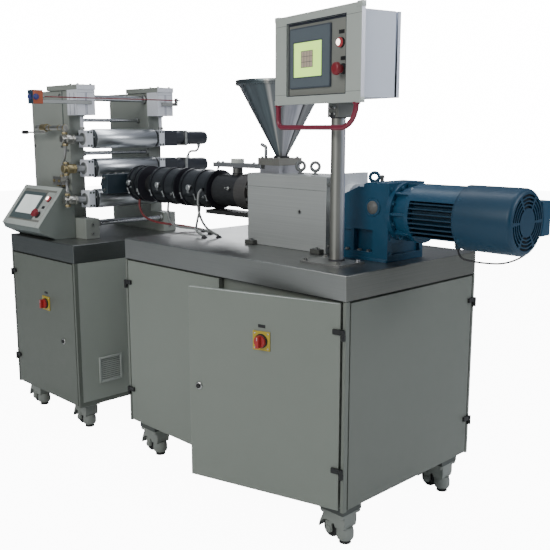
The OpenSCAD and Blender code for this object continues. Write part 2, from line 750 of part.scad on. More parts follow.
module chill_roll(z) {
    tail = roll_len / 2 + end_flange_t;
    rod_y(-roll_len / 2, roll_len / 2, roll_d / 2, roll_x, z);
    rod_y(-tail, tail, roll_d / 2 - 3, roll_x, z);
    rod_y(-union_y - 24, frame_y + frame_t + 24, journal_r, roll_x, z);
}

module upper_roll() color("whitesmoke") on_line() chill_roll(upper_z);
module middle_roll() color("whitesmoke") on_line() chill_roll(middle_z);
module lower_roll() color("whitesmoke") on_line() chill_roll(lower_z);

module servo_motors() color("#1d1f22") on_line() {
    translate(servo_up) cylinder(h = 20, r = 8);
    translate(servo_down - [0, 0, 20]) cylinder(h = 20, r = 8);
    for (z = [middle_z, upper_z]) {
        difference() {
            box([roll_x - 36, frame_y + block_t, z - 36], [roll_x + 36, servo_plate_y + 34, z + 36]);
            rod_y(frame_y + block_t - 1, servo_plate_y + 26, journal_r + 2, roll_x, z);
        }
        rod_y(servo_plate_y + 34, servo_reach, servo_d / 2, roll_x, z);
        box([roll_x - 34, servo_plate_y + 84, z - 36], [roll_x + 34, servo_plate_y + 98, z + 36]);
    }
}

module servo_cable() color("dimgray") on_line() cord(servo_cable_pts, 5.5);

union_r = 21;
module rotary_unions() color("goldenrod") on_line() {
    for (z = roll_zs) difference() {
        union() {
            rod_y(-union_y - 60, -union_y + 2, union_r, roll_x, z);
            translate([roll_x, fitting_y, z - fitting_h]) cylinder(h = 2 * fitting_h, r = stub_r);
        }
        rod_y(-union_y - 26, -union_y + 3, journal_r + 0.1, roll_x, z);
    }
}

// A water manifold on the near side frame, and the shut-off valve above the upper union
module water_fittings() color("silver") on_line() {
    top = upper_z + fitting_h;
    box(manifold, manifold + [74, 42, 36]);
    translate(manifold + [54, 17, 36]) cylinder(h = 14, r = stub_r);
    translate([roll_x, fitting_y, top]) cylinder(h = 8, r = 13);
    difference() {
        rod_x(roll_x - 20, roll_x + 12, 13, fitting_y, top + 14);
        translate([roll_x, fitting_y, top - 12]) cylinder(h = 12, r = 14);
    }
    rod_x(roll_x - 240, roll_x - 20, 11, fitting_y, top + 14);
    rod_x(roll_x - 190, roll_x - 150, 17, fitting_y, top + 14);
    translate([roll_x - 170, fitting_y, top]) mirror([0, 0, 1]) cylinder(h = 4, r = 7);
    rod_x(roll_x - 345, roll_x - 163, 4, fitting_y, top - 6);
    rod_x(roll_x - 375, roll_x - 335, 9, fitting_y, top - 6);
}

module cooling_hoses() color("dimgray") on_line()
    for (k = [0 : len(hose_pts) - 1]) cord(hose_pts[k], 6);

module air_cylinders() color("lavender") on_line() both_sides() {
    cx = cylinder_box[0] / 2;
    y0 = frame_y + frame_t / 2 - cylinder_box[1] / 2;
    box([roll_x - cx, y0, cylinder_z], [roll_x + cx, y0 + cylinder_box[1], cylinder_z + cylinder_box[2]]);
    box([roll_x - cx - cap_plate[0], y0 - 2, frame_top],
        [roll_x + cx + 3, y0 + cylinder_box[1] + 2, frame_top + cap_plate[1]]);
    translate([roll_x, frame_y + frame_t / 2, upper_z + block_half])
        cylinder(h = cylinder_z - upper_z - block_half, r = 8);
}

module pull_rope_switch() color("darkorange") on_line() {
    front = roll_x + cylinder_box[0] / 2;
    box([rope_x - 24, rope_y0 - 44, rope_z - 30], [rope_x + 22, rope_y0, rope_z + 26]);
    box([front, rope_y0 - 30, rope_z - 26], [rope_x - 24, -frame_y - 10, rope_z - 10]);
    box([front, frame_y + 10, rope_z - 26], [rope_x - 12, rope_y1 - 6, rope_z - 10]);
    box([rope_x - 12, rope_y1 - 12, rope_z - 26], [rope_x + 8, rope_y1 - 6, rope_z + 10]);
}

module pull_rope() color("red") on_line() rod_y(rope_y0, rope_y1 - 12, 2.5, rope_x, rope_z);

// Console in front of the roll stand
module console_body() color("gainsboro") on_line() translate([console_x0, 0, 0])
    rotate([90, 0, 90]) linear_extrude(console_w)
        polygon([console_low, console_top, [console_top[0] + 30, console_top[1] - 4],
                 [-frame_y - frame_t, console_top[1] - 60], [-frame_y - frame_t, roll_table_h],
                 [-roll_half + 40, roll_table_h], [console_low[0] + 10, console_low[1] - 22]]);

module on_console() translate([console_x0, console_low[0], console_low[1]])
    rotate([atan2(console_top[1] - console_low[1], console_top[0] - console_low[0]), 0, 0]) children();

module console_controls() color("red") on_line() on_console() {
    box([60, 55, 0], [220, 160, 3]);
    translate([285, 140, 0]) cylinder(h = 12, r = 11);
    translate([270, 62, 0]) cylinder(h = 14, r = 12);
    translate([270, 62, 14]) cylinder(h = 16, r = 19);
}

// Casters: a wheel and a levelling foot under one housing
module caster_places(x0, x1, half)
    for (x = [x0 + caster_inset, x1 - caster_inset], y = [-half + caster_inset, half - caster_inset])
        translate([x, y, 0]) children();

module all_casters() {
    caster_places(-ext_len, 0, table_half) children();
    caster_places(roll_x0, roll_x1, roll_half) children();
}

wheel_x = -31;
foot_x = 22;
wheel_lift = 2;
wheel_z = wheel_d / 2 + wheel_lift;
cheek_y = 13;
foot_h = 10;
module casters() color("gainsboro") on_line() all_casters() difference() {
    union() {
        box([-50, -46, caster_h - 8], [50, 46, caster_h]);
        box([-44, -32, 52], [44, 32, caster_h - 8]);
        for (y = [-22, cheek_y + 1]) box([wheel_x - 12, y, wheel_z - 10], [wheel_x + 14, y + 8, 53]);
        // The sleeve round the foot's screw
        translate([foot_x, 0, foot_h + 2]) cylinder(h = 52 - foot_h, r = 26);
    }
    translate([foot_x, 0, foot_h]) cylinder(h = 52 - foot_h, r = 10.2);
    rod_y(-cheek_y, cheek_y, wheel_d / 2 + 3, wheel_x, wheel_z);
    rod_y(-23, 23, 5, wheel_x, wheel_z);
}

module caster_wheels() color("#222222") on_line() all_casters() {
    rod_y(-11, 11, wheel_d / 2, wheel_x, wheel_z);
    rod_y(-23, 23, 5, wheel_x, wheel_z);
}

module levelling_feet() color("#333333") on_line() all_casters() translate([foot_x, 0, 0]) {
    cylinder(h = foot_h, r = 20);
    cylinder(h = 52, r = 10);
}

module caster_spacers() color("#444444") on_line() {
    caster_places(-ext_len, 0, table_half) box([-50, -46, caster_h], [50, 46, ext_floor]);
    caster_places(roll_x0, roll_x1, roll_half) box([-50, -46, caster_h], [50, 46, roll_floor]);
}

extruder_frame();
extruder_walls();
extruder_table();
left_door();
right_door();
end_door();
hinge_brackets();
extruder_switch_plate();
extruder_switch_knob();
right_door_lock();
roll_door_lock();
feed_housing();
lifting_eyes();
gearbox();
motor_body();
fan_cover();
terminal_box();
motor_cable();
barrel();
heater_bands();
cable_grommets();
heater_cables();
die();
hopper();
hopper_base();
drain_tube();
panel_post();
panel_case();
panel_front();
panel_controls();
grab_handle();
roll_frame();
roll_walls();
roll_table();
roll_door();
roll_switch_plate();
roll_switch_knob();
vent_grille();
side_frames();
tie_bars();
bearing_blocks();
upper_roll();
middle_roll();
lower_roll();
servo_motors();
servo_cable();
rotary_unions();
water_fittings();
cooling_hoses();
air_cylinders();
pull_rope_switch();
pull_rope();
console_body();
console_controls();
casters();
caster_wheels();
levelling_feet();
caster_spacers();
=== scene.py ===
import math

import bmesh
import bpy
from mathutils import Matrix, Vector


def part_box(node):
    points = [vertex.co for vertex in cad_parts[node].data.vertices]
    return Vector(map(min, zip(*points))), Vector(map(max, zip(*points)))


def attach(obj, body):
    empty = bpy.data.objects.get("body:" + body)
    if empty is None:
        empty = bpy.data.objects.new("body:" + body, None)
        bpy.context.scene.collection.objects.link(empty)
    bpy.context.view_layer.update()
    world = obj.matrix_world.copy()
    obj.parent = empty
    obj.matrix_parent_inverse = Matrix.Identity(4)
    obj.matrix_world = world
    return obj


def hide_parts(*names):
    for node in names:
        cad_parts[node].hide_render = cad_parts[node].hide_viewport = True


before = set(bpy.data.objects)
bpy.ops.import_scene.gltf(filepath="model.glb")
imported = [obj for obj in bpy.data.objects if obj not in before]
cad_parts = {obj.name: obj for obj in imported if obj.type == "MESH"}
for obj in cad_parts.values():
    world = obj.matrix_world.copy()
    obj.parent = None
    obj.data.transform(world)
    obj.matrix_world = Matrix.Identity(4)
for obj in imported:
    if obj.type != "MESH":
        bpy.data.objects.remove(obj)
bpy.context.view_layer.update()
room = bpy.context.collection

# The camera. It stands off the motor's corner of the line at the height of a
# standing person's chin, and looks slightly down along the machine.
camera_data = bpy.data.cameras.new("camera")
camera_data.lens = 52.5
camera_data.sensor_width = 36.0


def object_of(name, data):
    """A new object of some data, linked to the room."""
    made = bpy.data.objects.new(name, data)
    room.objects.link(made)
    return made


camera = object_of("camera", camera_data)
camera.location = (2.3283, -2.0841, 1.3089)
camera.rotation_euler = (math.radians(79.65), 0.0, math.radians(45.78))
bpy.context.scene.camera = camera

# Cables and hoses. Each is a fixed length of rubber or braided cable that runs
# from one gland to another and sags between them, so it is swept along its route.
table_low, table_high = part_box("extruder_table")
line_zero = Vector((table_high[0], (table_low[1] + table_high[1]) / 2, 0.0))


def spot(x, y, z):
    """A point given in millimetres in the line's own axes, in the frame's metres."""
    return line_zero + Vector((x, y, z)) / 1000.0


def in_line(point):
    """The line's own millimetres for a point of the room."""
    return (point - line_zero) * 1000


def evenly(count, first):
    """Angles set evenly round a circle, from a first one in degrees."""
    return [math.radians(first + 360 / count * k) for k in range(count)]


def smooth_route(points, steps=6):
    """The smooth curve that a cord takes through its route's points."""
    route = []
    for i in range(len(points) - 1):
        a, b = points[max(i - 1, 0)], points[i]
        c, d = points[i + 1], points[min(i + 2, len(points) - 1)]
        for s in range(steps):
            t = s / steps
            route.append(0.5 * (2 * b + (c - a) * t + (2 * a - 5 * b + 4 * c - d) * t * t
                                + (3 * b - a - 3 * c + d) * t ** 3))
    return route + [points[-1]]


def ring_of(shape, centre, radius, side, other, sides):
    """A ring of a shape's points round a centre, from one direction to another."""
    turns = (2 * math.pi * k / sides for k in range(sides))
    return [shape.verts.new(centre + radius * (math.cos(a) * side + math.sin(a) * other))
            for a in turns]


def bridged(shape, rings, index=0):
    """Closes rings of points into a solid, with a cap at each end. Returns its walls."""
    walls = []
    for a, b in zip(rings, rings[1:]):
        for k in range(len(a)):
            n = (k + 1) % len(a)
            walls.append(shape.faces.new((a[k], a[n], b[n], b[k])))
    for face in (shape.faces.new(list(reversed(rings[0]))), shape.faces.new(rings[-1]), *walls):
        face.material_index = index
    return walls


def mesh_of(name, shape):
    """The mesh that a finished bmesh becomes."""
    mesh = bpy.data.meshes.new(name)
    shape.to_mesh(mesh)
    shape.free()
    return mesh


def swept(name, route, radius, sides=12):
    """A tube along a route, with a UV map whose V is the length in metres."""
    shape = bmesh.new()
    uv = shape.loops.layers.uv.new("along")
    rings, travelled, side = [], [0.0], None
    for i, point in enumerate(route):
        ahead = (route[min(i + 1, len(route) - 1)] - route[max(i - 1, 0)]).normalized()
        side = ahead.orthogonal() if side is None else side - ahead * side.dot(ahead)
        side.normalize()
        rings.append(ring_of(shape, point, radius, side, ahead.cross(side), sides))
        if i:
            travelled.append(travelled[-1] + (point - route[i - 1]).length)
    for number, face in enumerate(bridged(shape, rings)):
        i, k = divmod(number, sides)
        face.smooth = True
        for loop, (u, v) in zip(face.loops, ((k, i), (k + 1, i), (k + 1, i + 1), (k, i + 1))):
            loop[uv].uv = (u / sides, travelled[v])
    return object_of(name, mesh_of(name, shape))


def set_input(tree, socket, value):
    """Gives a node's input a plain value, or wires it to another node's output."""
    if isinstance(value, bpy.types.NodeSocket):
        tree.links.new(value, socket)
    else:
        socket.default_value = value


def node_in(tree, kind, inputs=(), output=0, **settings):
    """Adds a node with its settings and inputs, and returns one of its outputs."""
    node = tree.nodes.new(kind)
    for name, value in settings.items():
        setattr(node, name, value)
    for name, value in dict(inputs).items():
        set_input(tree, node.inputs[name], value)
    return node.outputs[output]


def worked(tree, operation, *values, kind="ShaderNodeMath"):
    """What a maths node makes of numbers, vectors or sockets."""
    output = "Value" if operation == "DOT_PRODUCT" else 0
    return node_in(tree, kind, enumerate(values), output, operation=operation)


def noise_of(tree, place, scale, detail, roughness=0.5):
    """A noise texture's factor at a place."""
    return node_in(tree, "ShaderNodeTexNoise", {"Vector": place, "Scale": scale, "Detail": detail,
                                                "Roughness": roughness})


def ranged(tree, value, low, high=1.0):
    """A value spread from low and high to nought and one."""
    return node_in(tree, "ShaderNodeMapRange", {"Value": value, "From Min": low, "From Max": high},
                   "Result")


def mixed(tree, factor, first, second, blend="MIX"):
    """A mix of two colours or colour sockets."""
    return node_in(tree, "ShaderNodeMix", {0: factor, 6: first, 7: second}, 2, data_type="RGBA",
                   blend_type=blend)


def ramp_in(tree, place, stops):
    """The colour that (position, colour) stops give a place."""
    colour = node_in(tree, "ShaderNodeValToRGB", {"Fac": place})
    marks = colour.node.color_ramp.elements
    for mark, (position, tone) in ((marks[0], stops[0]), (marks[1], stops[-1])):
        mark.position, mark.color = position, (*tone, 1.0)
    for position, tone in stops[1:-1]:
        marks.new(position).color = (*tone, 1.0)
    return colour


def where_is(tree, kind="Object"):
    """The socket that gives a point's place on the object."""
    return node_in(tree, "ShaderNodeTexCoord", output=kind)


def shader_of(material):
    """A material's Principled shader."""
    return material.node_tree.nodes["Principled BSDF"]


def shaded(material, inputs):
    """Sets or wires inputs of a material's shader."""
    for name, value in inputs.items():
        set_input(material.node_tree, shader_of(material).inputs[name], value)


def new_material(name, colour, roughness=0.5, metallic=0.0):
    """A material with its Principled shader's plain values set, for nodes to be added to."""
    material = bpy.data.materials.new(name)
    material.use_nodes = True
    shaded(material, {"Base Color": (*colour, 1.0), "Roughness": roughness, "Metallic": metallic})
    return material


def bumped(material, height, strength, distance):
    """Sends a height through a Bump node to the shader's normal."""
    bump = {"Strength": strength, "Distance": distance, "Height": height}
    shaded(material, {"Normal": node_in(material.node_tree, "ShaderNodeBump", bump)})


def toned(colour, factor, lift=0.0):
    """A colour made darker or lighter, with its alpha."""
    return (*[min(1.0, c * factor + lift) for c in colour], 1.0)


def braid_material(name, colour, lift, roughness, pitch, strands):
    """A jacket woven of crossing strands that run round the cord both ways."""
    material = new_material(name, colour, roughness)
    tree = material.node_tree
    uv = node_in(tree, "ShaderNodeUVMap", uv_map="along")
    split = node_in(tree, "ShaderNodeSeparateXYZ", {0: uv}).node.outputs
    waves = []
    for way in (1.0, -1.0):
        turn = worked(tree, "MULTIPLY", split["X"], 2 * math.pi * strands * way)
        climb = worked(tree, "MULTIPLY_ADD", split["Y"], 2 * math.pi / pitch, turn)
        waves.append(worked(tree, "SINE", climb))
    weave = worked(tree, "MAXIMUM", *waves)
    shaded(material, {"Base Color": mixed(tree, ranged(tree, weave, -0.4), toned(colour, 0.45),
                                          toned(colour, lift))})
    bumped(material, weave, 0.5, 0.0006)
    return material


def rubber_material(name, colour, roughness):
    """A plain extruded rubber jacket, a little dusty and unevenly dull."""
    material = new_material(name, colour, roughness)
    tree = material.node_tree
    dust = noise_of(tree, where_is(tree), 60.0, 4.0)
    shaded(material, {"Base Color": mixed(tree, dust, toned(colour, 0.75),
                                          toned(colour, 1.6, 0.01))})
    bumped(material, dust, 0.15, 0.0004)
    return material


grey_braid = braid_material("grey_braid", (0.17, 0.175, 0.17), 2.4, 0.42, 0.012, 6)
steel_braid = braid_material("steel_braid", (0.30, 0.30, 0.29), 1.9, 0.34, 0.009, 6)
shaded(steel_braid, {"Metallic": 0.75})
black_rubber = rubber_material("black_rubber", (0.018, 0.018, 0.02), 0.5)
red_jacket = rubber_material("red_jacket", (0.17, 0.028, 0.03), 0.55)

screw_z = 1068.0
table_z = 886.0
motor_z = 1045.0
band_x = -1052.0
band_pitch = 212.0
roll_x = -1650.0
roll_heights = {"lower_roll": 1000.0, "middle_roll": 1136.0, "upper_roll": 1264.0}
fitting_y = -298.0
band_foot = screw_z - 68.0
cord_routes = {
    "motor_cable_rubber": (
        [(150, 0, 948), (152, 1, 932), (163, 4, 918), (184, 10, 912.5), (230, 22, 909),
         (281, 40, 912), (316, 72, 928), (335, 103, 955), (340, 121.5, 995)],
        2.9, black_rubber, 0.29, "motor_cable"),
    "heater_cable_first": (
        [(band_x, -40, band_foot), (band_x + 3, -48, band_foot - 28), (band_x + 16, -70, 934),
         (band_x + 44, -96, 911), (band_x + 84, -114, 902), (band_x + 122, -120, 894)],
        4.8, grey_braid, 0.20, "heater_cables"),
    "heater_cable_looped": (
        [(band_x + 67, -86, 1070), (band_x + 80, -110, 1056), (band_x + 92, -124, 1020),
         (band_x + 99, -122, 976), (band_x + 110, -108, 936), (band_x + 128, -90, 910),
         (band_x + 152, -70, 894)], 4.8, grey_braid, 0.24, "heater_cables"),
    "heater_cable_second": (
        [(-1264, -40, band_foot), (-1258, -48, band_foot - 36), (-1232, -58, 928),
         (-1180, -60, 906), (-1060, -44, 903), (-1000, -30, 894)],
        4.8, grey_braid, 0.32, "heater_cables"),
    "heater_cable_third": (
        [(-1476, -40, band_foot), (-1468, -46, band_foot - 34), (-1428, -50, 928),
         (-1330, -50, 910), (-1180, -24, 905), (-1090, 10, 894)],
        4.8, red_jacket, 0.45, "heater_cables"),
    "servo_cable_rubber": (
        [(roll_x, 440, 1226), (roll_x, 435.1, 1210.5), (roll_x, 422.2, 1200.6), (roll_x, 406, 1200),
         (roll_x, 389.8, 1199.4), (roll_x, 376.9, 1189.5), (roll_x, 372, 1174)],
        5.3, black_rubber, 0.10, "servo_cable"),
    "hose_upper": (
        [(roll_x, fitting_y, 1230), (roll_x - 5.4, fitting_y + 1.7, 1204.2),
         (roll_x - 20.8, fitting_y + 6.5, 1183.3),
         (roll_x - 43, fitting_y + 13.5, 1171),
         (roll_x - 65.2, fitting_y + 20.5, 1158.7),
         (roll_x - 80.6, fitting_y + 25.3, 1137.8), (roll_x - 86, fitting_y + 27, 1112)],
        5.8, steel_braid, 0.16, "cooling_hoses"),
    "hose_lower": (
        [(roll_x, fitting_y, 1034), (roll_x - 3.5, fitting_y + 2, 1051.6),
         (roll_x - 13.5, fitting_y + 7, 1066.5), (roll_x - 28.4, fitting_y + 16, 1076.5),
         (roll_x - 46, fitting_y + 25, 1080), (roll_x - 64, fitting_y + 31, 1080)],
        5.8, steel_braid, 0.09, "cooling_hoses"),
}
for name, (points, radius, jacket, length, node) in cord_routes.items():
    route = smooth_route([spot(*point) for point in points])
    cord = swept(name, route, radius / 1000)
    cord.data.materials.append(jacket)
    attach(cord, "line")
    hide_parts(node)
    tuple(route[0])
    [tuple(point) for point in route]

# The floor, the room and the lights. A plain white floor in a pale studio, with
# large soft lamps that give the steel and the chrome their long highlights.
floor_mesh = bpy.data.meshes.new("floor")
floor_mesh.from_pydata([(-14, -14, 0), (14, -14, 0), (14, 14, 0), (-14, 14, 0)], [], [(0, 1, 2, 3)])
floor_white = new_material("floor_white", (0.86, 0.87, 0.86), 0.85)
floor_mesh.materials.append(floor_white)
object_of("floor", floor_mesh)


def shown_white(tree, strength, end, surface, joiner):
    """Adds white light to what the camera sees of a surface, whatever lights the object."""
    seen = node_in(tree, "ShaderNodeLightPath", output="Is Camera Ray")
    white = {"Color": (1.0, 1.0, 1.0, 1.0)}
    if joiner == "ShaderNodeAddShader":
        glow = node_in(tree, "ShaderNodeEmission",
                       {**white, "Strength": worked(tree, "MULTIPLY", seen, strength)})
        joined = node_in(tree, joiner, {0: surface, 1: glow})
    else:
        backdrop = node_in(tree, "ShaderNodeBackground", {**white, "Strength": strength})
        joined = node_in(tree, joiner, {0: seen, 1: surface, 2: backdrop})
    set_input(tree, tree.nodes[end].inputs["Surface"], joined)


shown_white(floor_white.node_tree, 11.0, "Material Output", shader_of(floor_white).outputs[0],
            "ShaderNodeAddShader")
world = bpy.data.worlds.new("studio")
bpy.context.scene.world = world
world.use_nodes = True
sky = world.node_tree
height = node_in(sky, "ShaderNodeSeparateXYZ", {0: where_is(sky, "Generated")}, "Z")
walls = ramp_in(sky, ranged(sky, height, -1.0), [
    (0.0, (0.50, 0.50, 0.48)), (0.48, (0.10, 0.105, 0.10)), (0.56, (0.10, 0.11, 0.12)),
    (0.74, (0.34, 0.37, 0.43)), (1.0, (0.62, 0.66, 0.74))])
surround = sky.nodes["Background"]
set_input(sky, surround.inputs["Color"], walls)
surround.inputs["Strength"].default_value = 0.62
shown_white(sky, 16.0, "World Output", surround.outputs[0], "ShaderNodeMixShader")

lamps = {
    "lamp_front": ((0.5, -5.0, 3.4), (0.1, 0.0, 0.7), (3.4, 2.2), 150, (1.0, 1.0, 0.97)),
    "lamp_side": ((4.4, 1.6, 2.8), (0.4, 0.0, 0.8), (2.2, 1.6), 80, (0.92, 0.95, 1.0)),
    "lamp_above": ((-0.2, 0.4, 4.2), (-0.2, 0.0, 0.5), (4.4, 0.7), 58, (0.93, 0.96, 1.0)),
    "lamp_behind": ((-3.6, 3.2, 2.6), (-0.6, 0.0, 1.1), (1.6, 1.6), 46, (0.95, 0.97, 1.0)),
}
for name, (place, target, size, power, tone) in lamps.items():
    lamp_data = bpy.data.lights.new(name, "AREA")
    lamp_data.shape = "RECTANGLE"
    lamp_data.size, lamp_data.size_y = size
    lamp_data.energy = power
    lamp_data.color = tone
    lamp = object_of(name, lamp_data)
    lamp.location = place
    lamp.rotation_euler = (Vector(target) - Vector(place)).to_track_quat("-Z", "Y").to_euler()

# The two cabinets. Folded sheet steel on welded bases, powder-coated pale
# grey-green, with hinged doors between their corner posts, and fixed walls.


def new_group(name, kind, inputs, outputs):
    """A node group with its sockets. Returns it and its two end nodes' own sockets."""
    tree = bpy.data.node_groups.new(name, kind)
    for way, sockets in (("INPUT", inputs), ("OUTPUT", outputs)):
        for label, socket, *value in sockets:
            made = tree.interface.new_socket(name=label, in_out=way,
                                             socket_type="NodeSocket" + socket)
            if value:
                made.default_value = value[0]
    return tree, tree.nodes.new("NodeGroupInput").outputs, tree.nodes.new("NodeGroupOutput").inputs


def surface_group(name, *inputs):
    """A shader group that gives out a colour, a roughness and a height. Returns the
    group, its two ends' sockets and the socket of a point's place."""
    sockets = [("Colour", "Color", (0.4, 0.4, 0.4, 1.0))]
    sockets += [(label, "Vector" if isinstance(value, tuple) else "Float", value)
                for label, value in inputs]
    group = new_group(name, "ShaderNodeTree", sockets,
                      (("Colour", "Color"), ("Roughness", "Float"), ("Height", "Float")))
    return (*group, where_is(group[0]))


def valued(tree, colour, value):
    """A colour made lighter or darker."""
    return node_in(tree, "ShaderNodeHueSaturation", {"Color": colour, "Value": value})


paint_skin, asked, given, place = surface_group("paint_skin", ("Mottle", 0.1),
                                                ("Peel Scale", 700.0), ("Dull", 0.4))
cloud = ranged(paint_skin, noise_of(paint_skin, place, 2.6, 5.0, 0.6), 0.3, 0.7)
rub = noise_of(paint_skin, place, 24.0, 6.0, 0.7)
set_input(paint_skin, given["Colour"],
          mixed(paint_skin, worked(paint_skin, "MULTIPLY", cloud, asked["Mottle"]), asked["Colour"],
                valued(paint_skin, asked["Colour"], 0.55)))
set_input(paint_skin, given["Roughness"], worked(paint_skin, "MULTIPLY_ADD", rub, 0.16,
                                                 asked["Dull"]))
set_input(paint_skin, given["Height"], noise_of(paint_skin, place, asked["Peel Scale"], 2.0))


def skinned(name, group, values, colour, strength, distance, metallic):
    """A material whose colour, roughness and bump come from a shared surface group."""
    material = new_material(name, colour, 0.5, metallic)
    skin = node_in(material.node_tree, "ShaderNodeGroup", {"Colour": (*colour, 1.0), **values},
                   node_tree=group).node.outputs
    shaded(material, {"Base Color": skin["Colour"], "Roughness": skin["Roughness"]})
    bumped(material, skin["Height"], strength, distance)
    return material


def painted(name, colour, mottle=0.12, peel=700.0, dull=0.34, strength=0.1, distance=0.0003,
            metallic=0.0):
    """Sprayed, moulded or lacquered surfaces: how cloudy, how fine and how dull they are."""
    return skinned(name, paint_skin, {"Mottle": mottle, "Peel Scale": peel, "Dull": dull}, colour,
                   strength, distance, metallic)


sharp_angle = 0.6
flat_angle = 0.01


def soft_edges(shape):
    """Smooth shading everywhere but on sharp edges."""
    for face in shape.faces:
        face.smooth = True
    for edge in shape.edges:
        edge.smooth = len(edge.link_faces) == 2 and edge.calc_face_angle(0.0) < sharp_angle


def riding(piece, body, replaces=()):
    """Lets a piece move with its body."""
    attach(piece, body)
    if replaces:
        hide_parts(*replaces)
    return piece


def piece_of(name, shape, materials, replaces=(), edge=0.0, segments=2, body="line",
             outwards=False):
    """Makes a riding piece of a bmesh, with its materials and a small bevel on its edges.
    edge is the bevel's width in millimetres; outwards turns the faces out first."""
    if outwards:
        bmesh.ops.recalc_face_normals(shape, faces=shape.faces)
    soft_edges(shape)
    piece = object_of(name, mesh_of(name, shape))
    for material in materials:
        piece.data.materials.append(material)
    if edge:
        bevel = piece.modifiers.new("edges", "BEVEL")
        bevel.width = edge / 1000
        bevel.segments = segments
        bevel.limit_method = "ANGLE"
        bevel.angle_limit = sharp_angle
    return riding(piece, body, replaces)


def cad_shape(node):
    """A copy of a CAD node's mesh with its loose triangles joined and its flats made whole."""
    shape = bmesh.new()
    shape.from_mesh(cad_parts[node].data)
    bmesh.ops.remove_doubles(shape, verts=shape.verts, dist=2e-6)
    bmesh.ops.dissolve_limit(shape, angle_limit=flat_angle, verts=shape.verts, edges=shape.edges)
    for face in shape.faces:
        face.material_index = 0
    return shape


def dressed(node, materials, edge=1.2, pick=None, segments=2, body="line"):
    """Stands for a CAD node: the same shape with rounded edges and its own materials."""
    shape = cad_shape(node)
    if pick:
        for face in shape.faces:
            face.material_index = pick(face.calc_center_median())
    return piece_of(node + "_made", shape, materials, (node,), edge, segments, body)


door_paint = painted("door_paint", (0.226, 0.248, 0.216), 0.10, 520.0, 0.36)
frame_paint = painted("frame_paint", (0.175, 0.192, 0.166), 0.12, 520.0, 0.38)
# The next two are the cabinets' coat made darker as painted shade: for the roll cabinet's frame and
# door, and for the extruder's end door.
roll_shade_paint = painted("roll_shade_paint", (0.135, 0.150, 0.128), 0.12, 520.0, 0.38)
end_shade_paint = painted("end_shade_paint", (0.168, 0.182, 0.158), 0.12, 520.0, 0.38)
wall_paint = painted("wall_paint", (0.335, 0.365, 0.325), 0.12, 520.0, 0.4)
hinge_and_shade_black = painted("hinge_and_shade_black", (0.012, 0.013, 0.013), 0.2, 900.0, 0.4)
# A pale colour: painted highlight on the folded door edges, and the white mark on the switch grips.
fold_highlight_and_mark = painted("fold_highlight_and_mark", (0.62, 0.66, 0.62), 0.15, 900.0, 0.22)

dressed("extruder_frame", [frame_paint], 1)
dressed("extruder_walls", [frame_paint], 1)
dressed("roll_frame", [roll_shade_paint], 1)
dressed("roll_walls", [wall_paint], 1)
hinge_reach = 0.036
ext_hinges = (253.0, 691.0)
roll_hinges = (225.0, 635.0)


def near_hinge(x, y, heights):
    """Tells a door's black hinge halves from its painted sheet."""
    centre = spot(x, y, 0)

    def pick(point):
        flat = math.hypot(point.x - centre.x, point.y - centre.y)
        level = any(h - 2 < point.z * 1000 < h + 36 for h in heights)
        return 1 if flat < hinge_reach and level else 0

    return pick


for door, x, y, paint in (("left_door", -1139, -352, door_paint),
                          ("right_door", -6, -352, door_paint), ("end_door", 6, 340, end_shade_paint)):
    dressed(door, [paint, hinge_and_shade_black], 1.6, near_hinge(x, y, ext_hinges),
            body=door)
dressed("roll_door", [roll_shade_paint, hinge_and_shade_black], 1.6,
        near_hinge(-2024, -392, roll_hinges), body="roll_door")
dressed("hinge_brackets", [hinge_and_shade_black], 0.8)

door_hinge = spot(-6, -352, 0)
ajar = math.radians(16)


def on_ajar(x, y, z):
    """A point on the closed right-hand door, given in the line's millimetres, as the door
    stands ajar."""
    return Matrix.Rotation(ajar, 3, "Z") @ (spot(x, y, z) - door_hinge) + door_hinge


def add_box(shape, low, high, index=0, turn=spot):
    """A box between two corners in the line's millimetres, with its faces outwards."""
    low, high = zip(*(sorted(pair) for pair in zip(low, high)))
    corners = [turn(x, y, z) for z in (low[2], high[2]) for x, y in
               ((low[0], low[1]), (high[0], low[1]), (high[0], high[1]), (low[0], high[1]))]
    points = [shape.verts.new(corner) for corner in corners]
    for a, b, c, d in ((3, 2, 1, 0), (4, 5, 6, 7), (0, 1, 5, 4), (1, 2, 6, 5), (2, 3, 7, 6),
                       (3, 0, 4, 7)):
        shape.faces.new((points[a], points[b], points[c], points[d])).material_index = index


def add_rod(shape, start, end, radius, sides=24, index=0):
    """A round rod between two points, closed at both ends, with its radius in millimetres."""
    ahead = (end - start).normalized()
    side = ahead.orthogonal().normalized()
    other = ahead.cross(side)
    ends = [ring_of(shape, point, radius / 1000, side, other, sides) for point in (start, end)]
    bridged(shape, ends, index)


# The folded top and side edges of the ajar door, with a painted highlight where the
# fold catches the light, and a dark sheet behind them of painted shade for the cabinet's inside.
folds = bmesh.new()
add_box(folds, (-566, -346.5, 799.4), (-20, -343.6, 801.6), 0, on_ajar)
add_box(folds, (-568.9, -345.2, 150), (-568.1, -343.8, 798), 0, on_ajar)
# A dark sheet behind the door: painted shade of the cabinet's inside.
add_box(folds, (-558, -328.6, 160), (-30, -327.4, 790), 1, on_ajar)
piece_of("door_folds", folds, [fold_highlight_and_mark, hinge_and_shade_black], body="right_door")

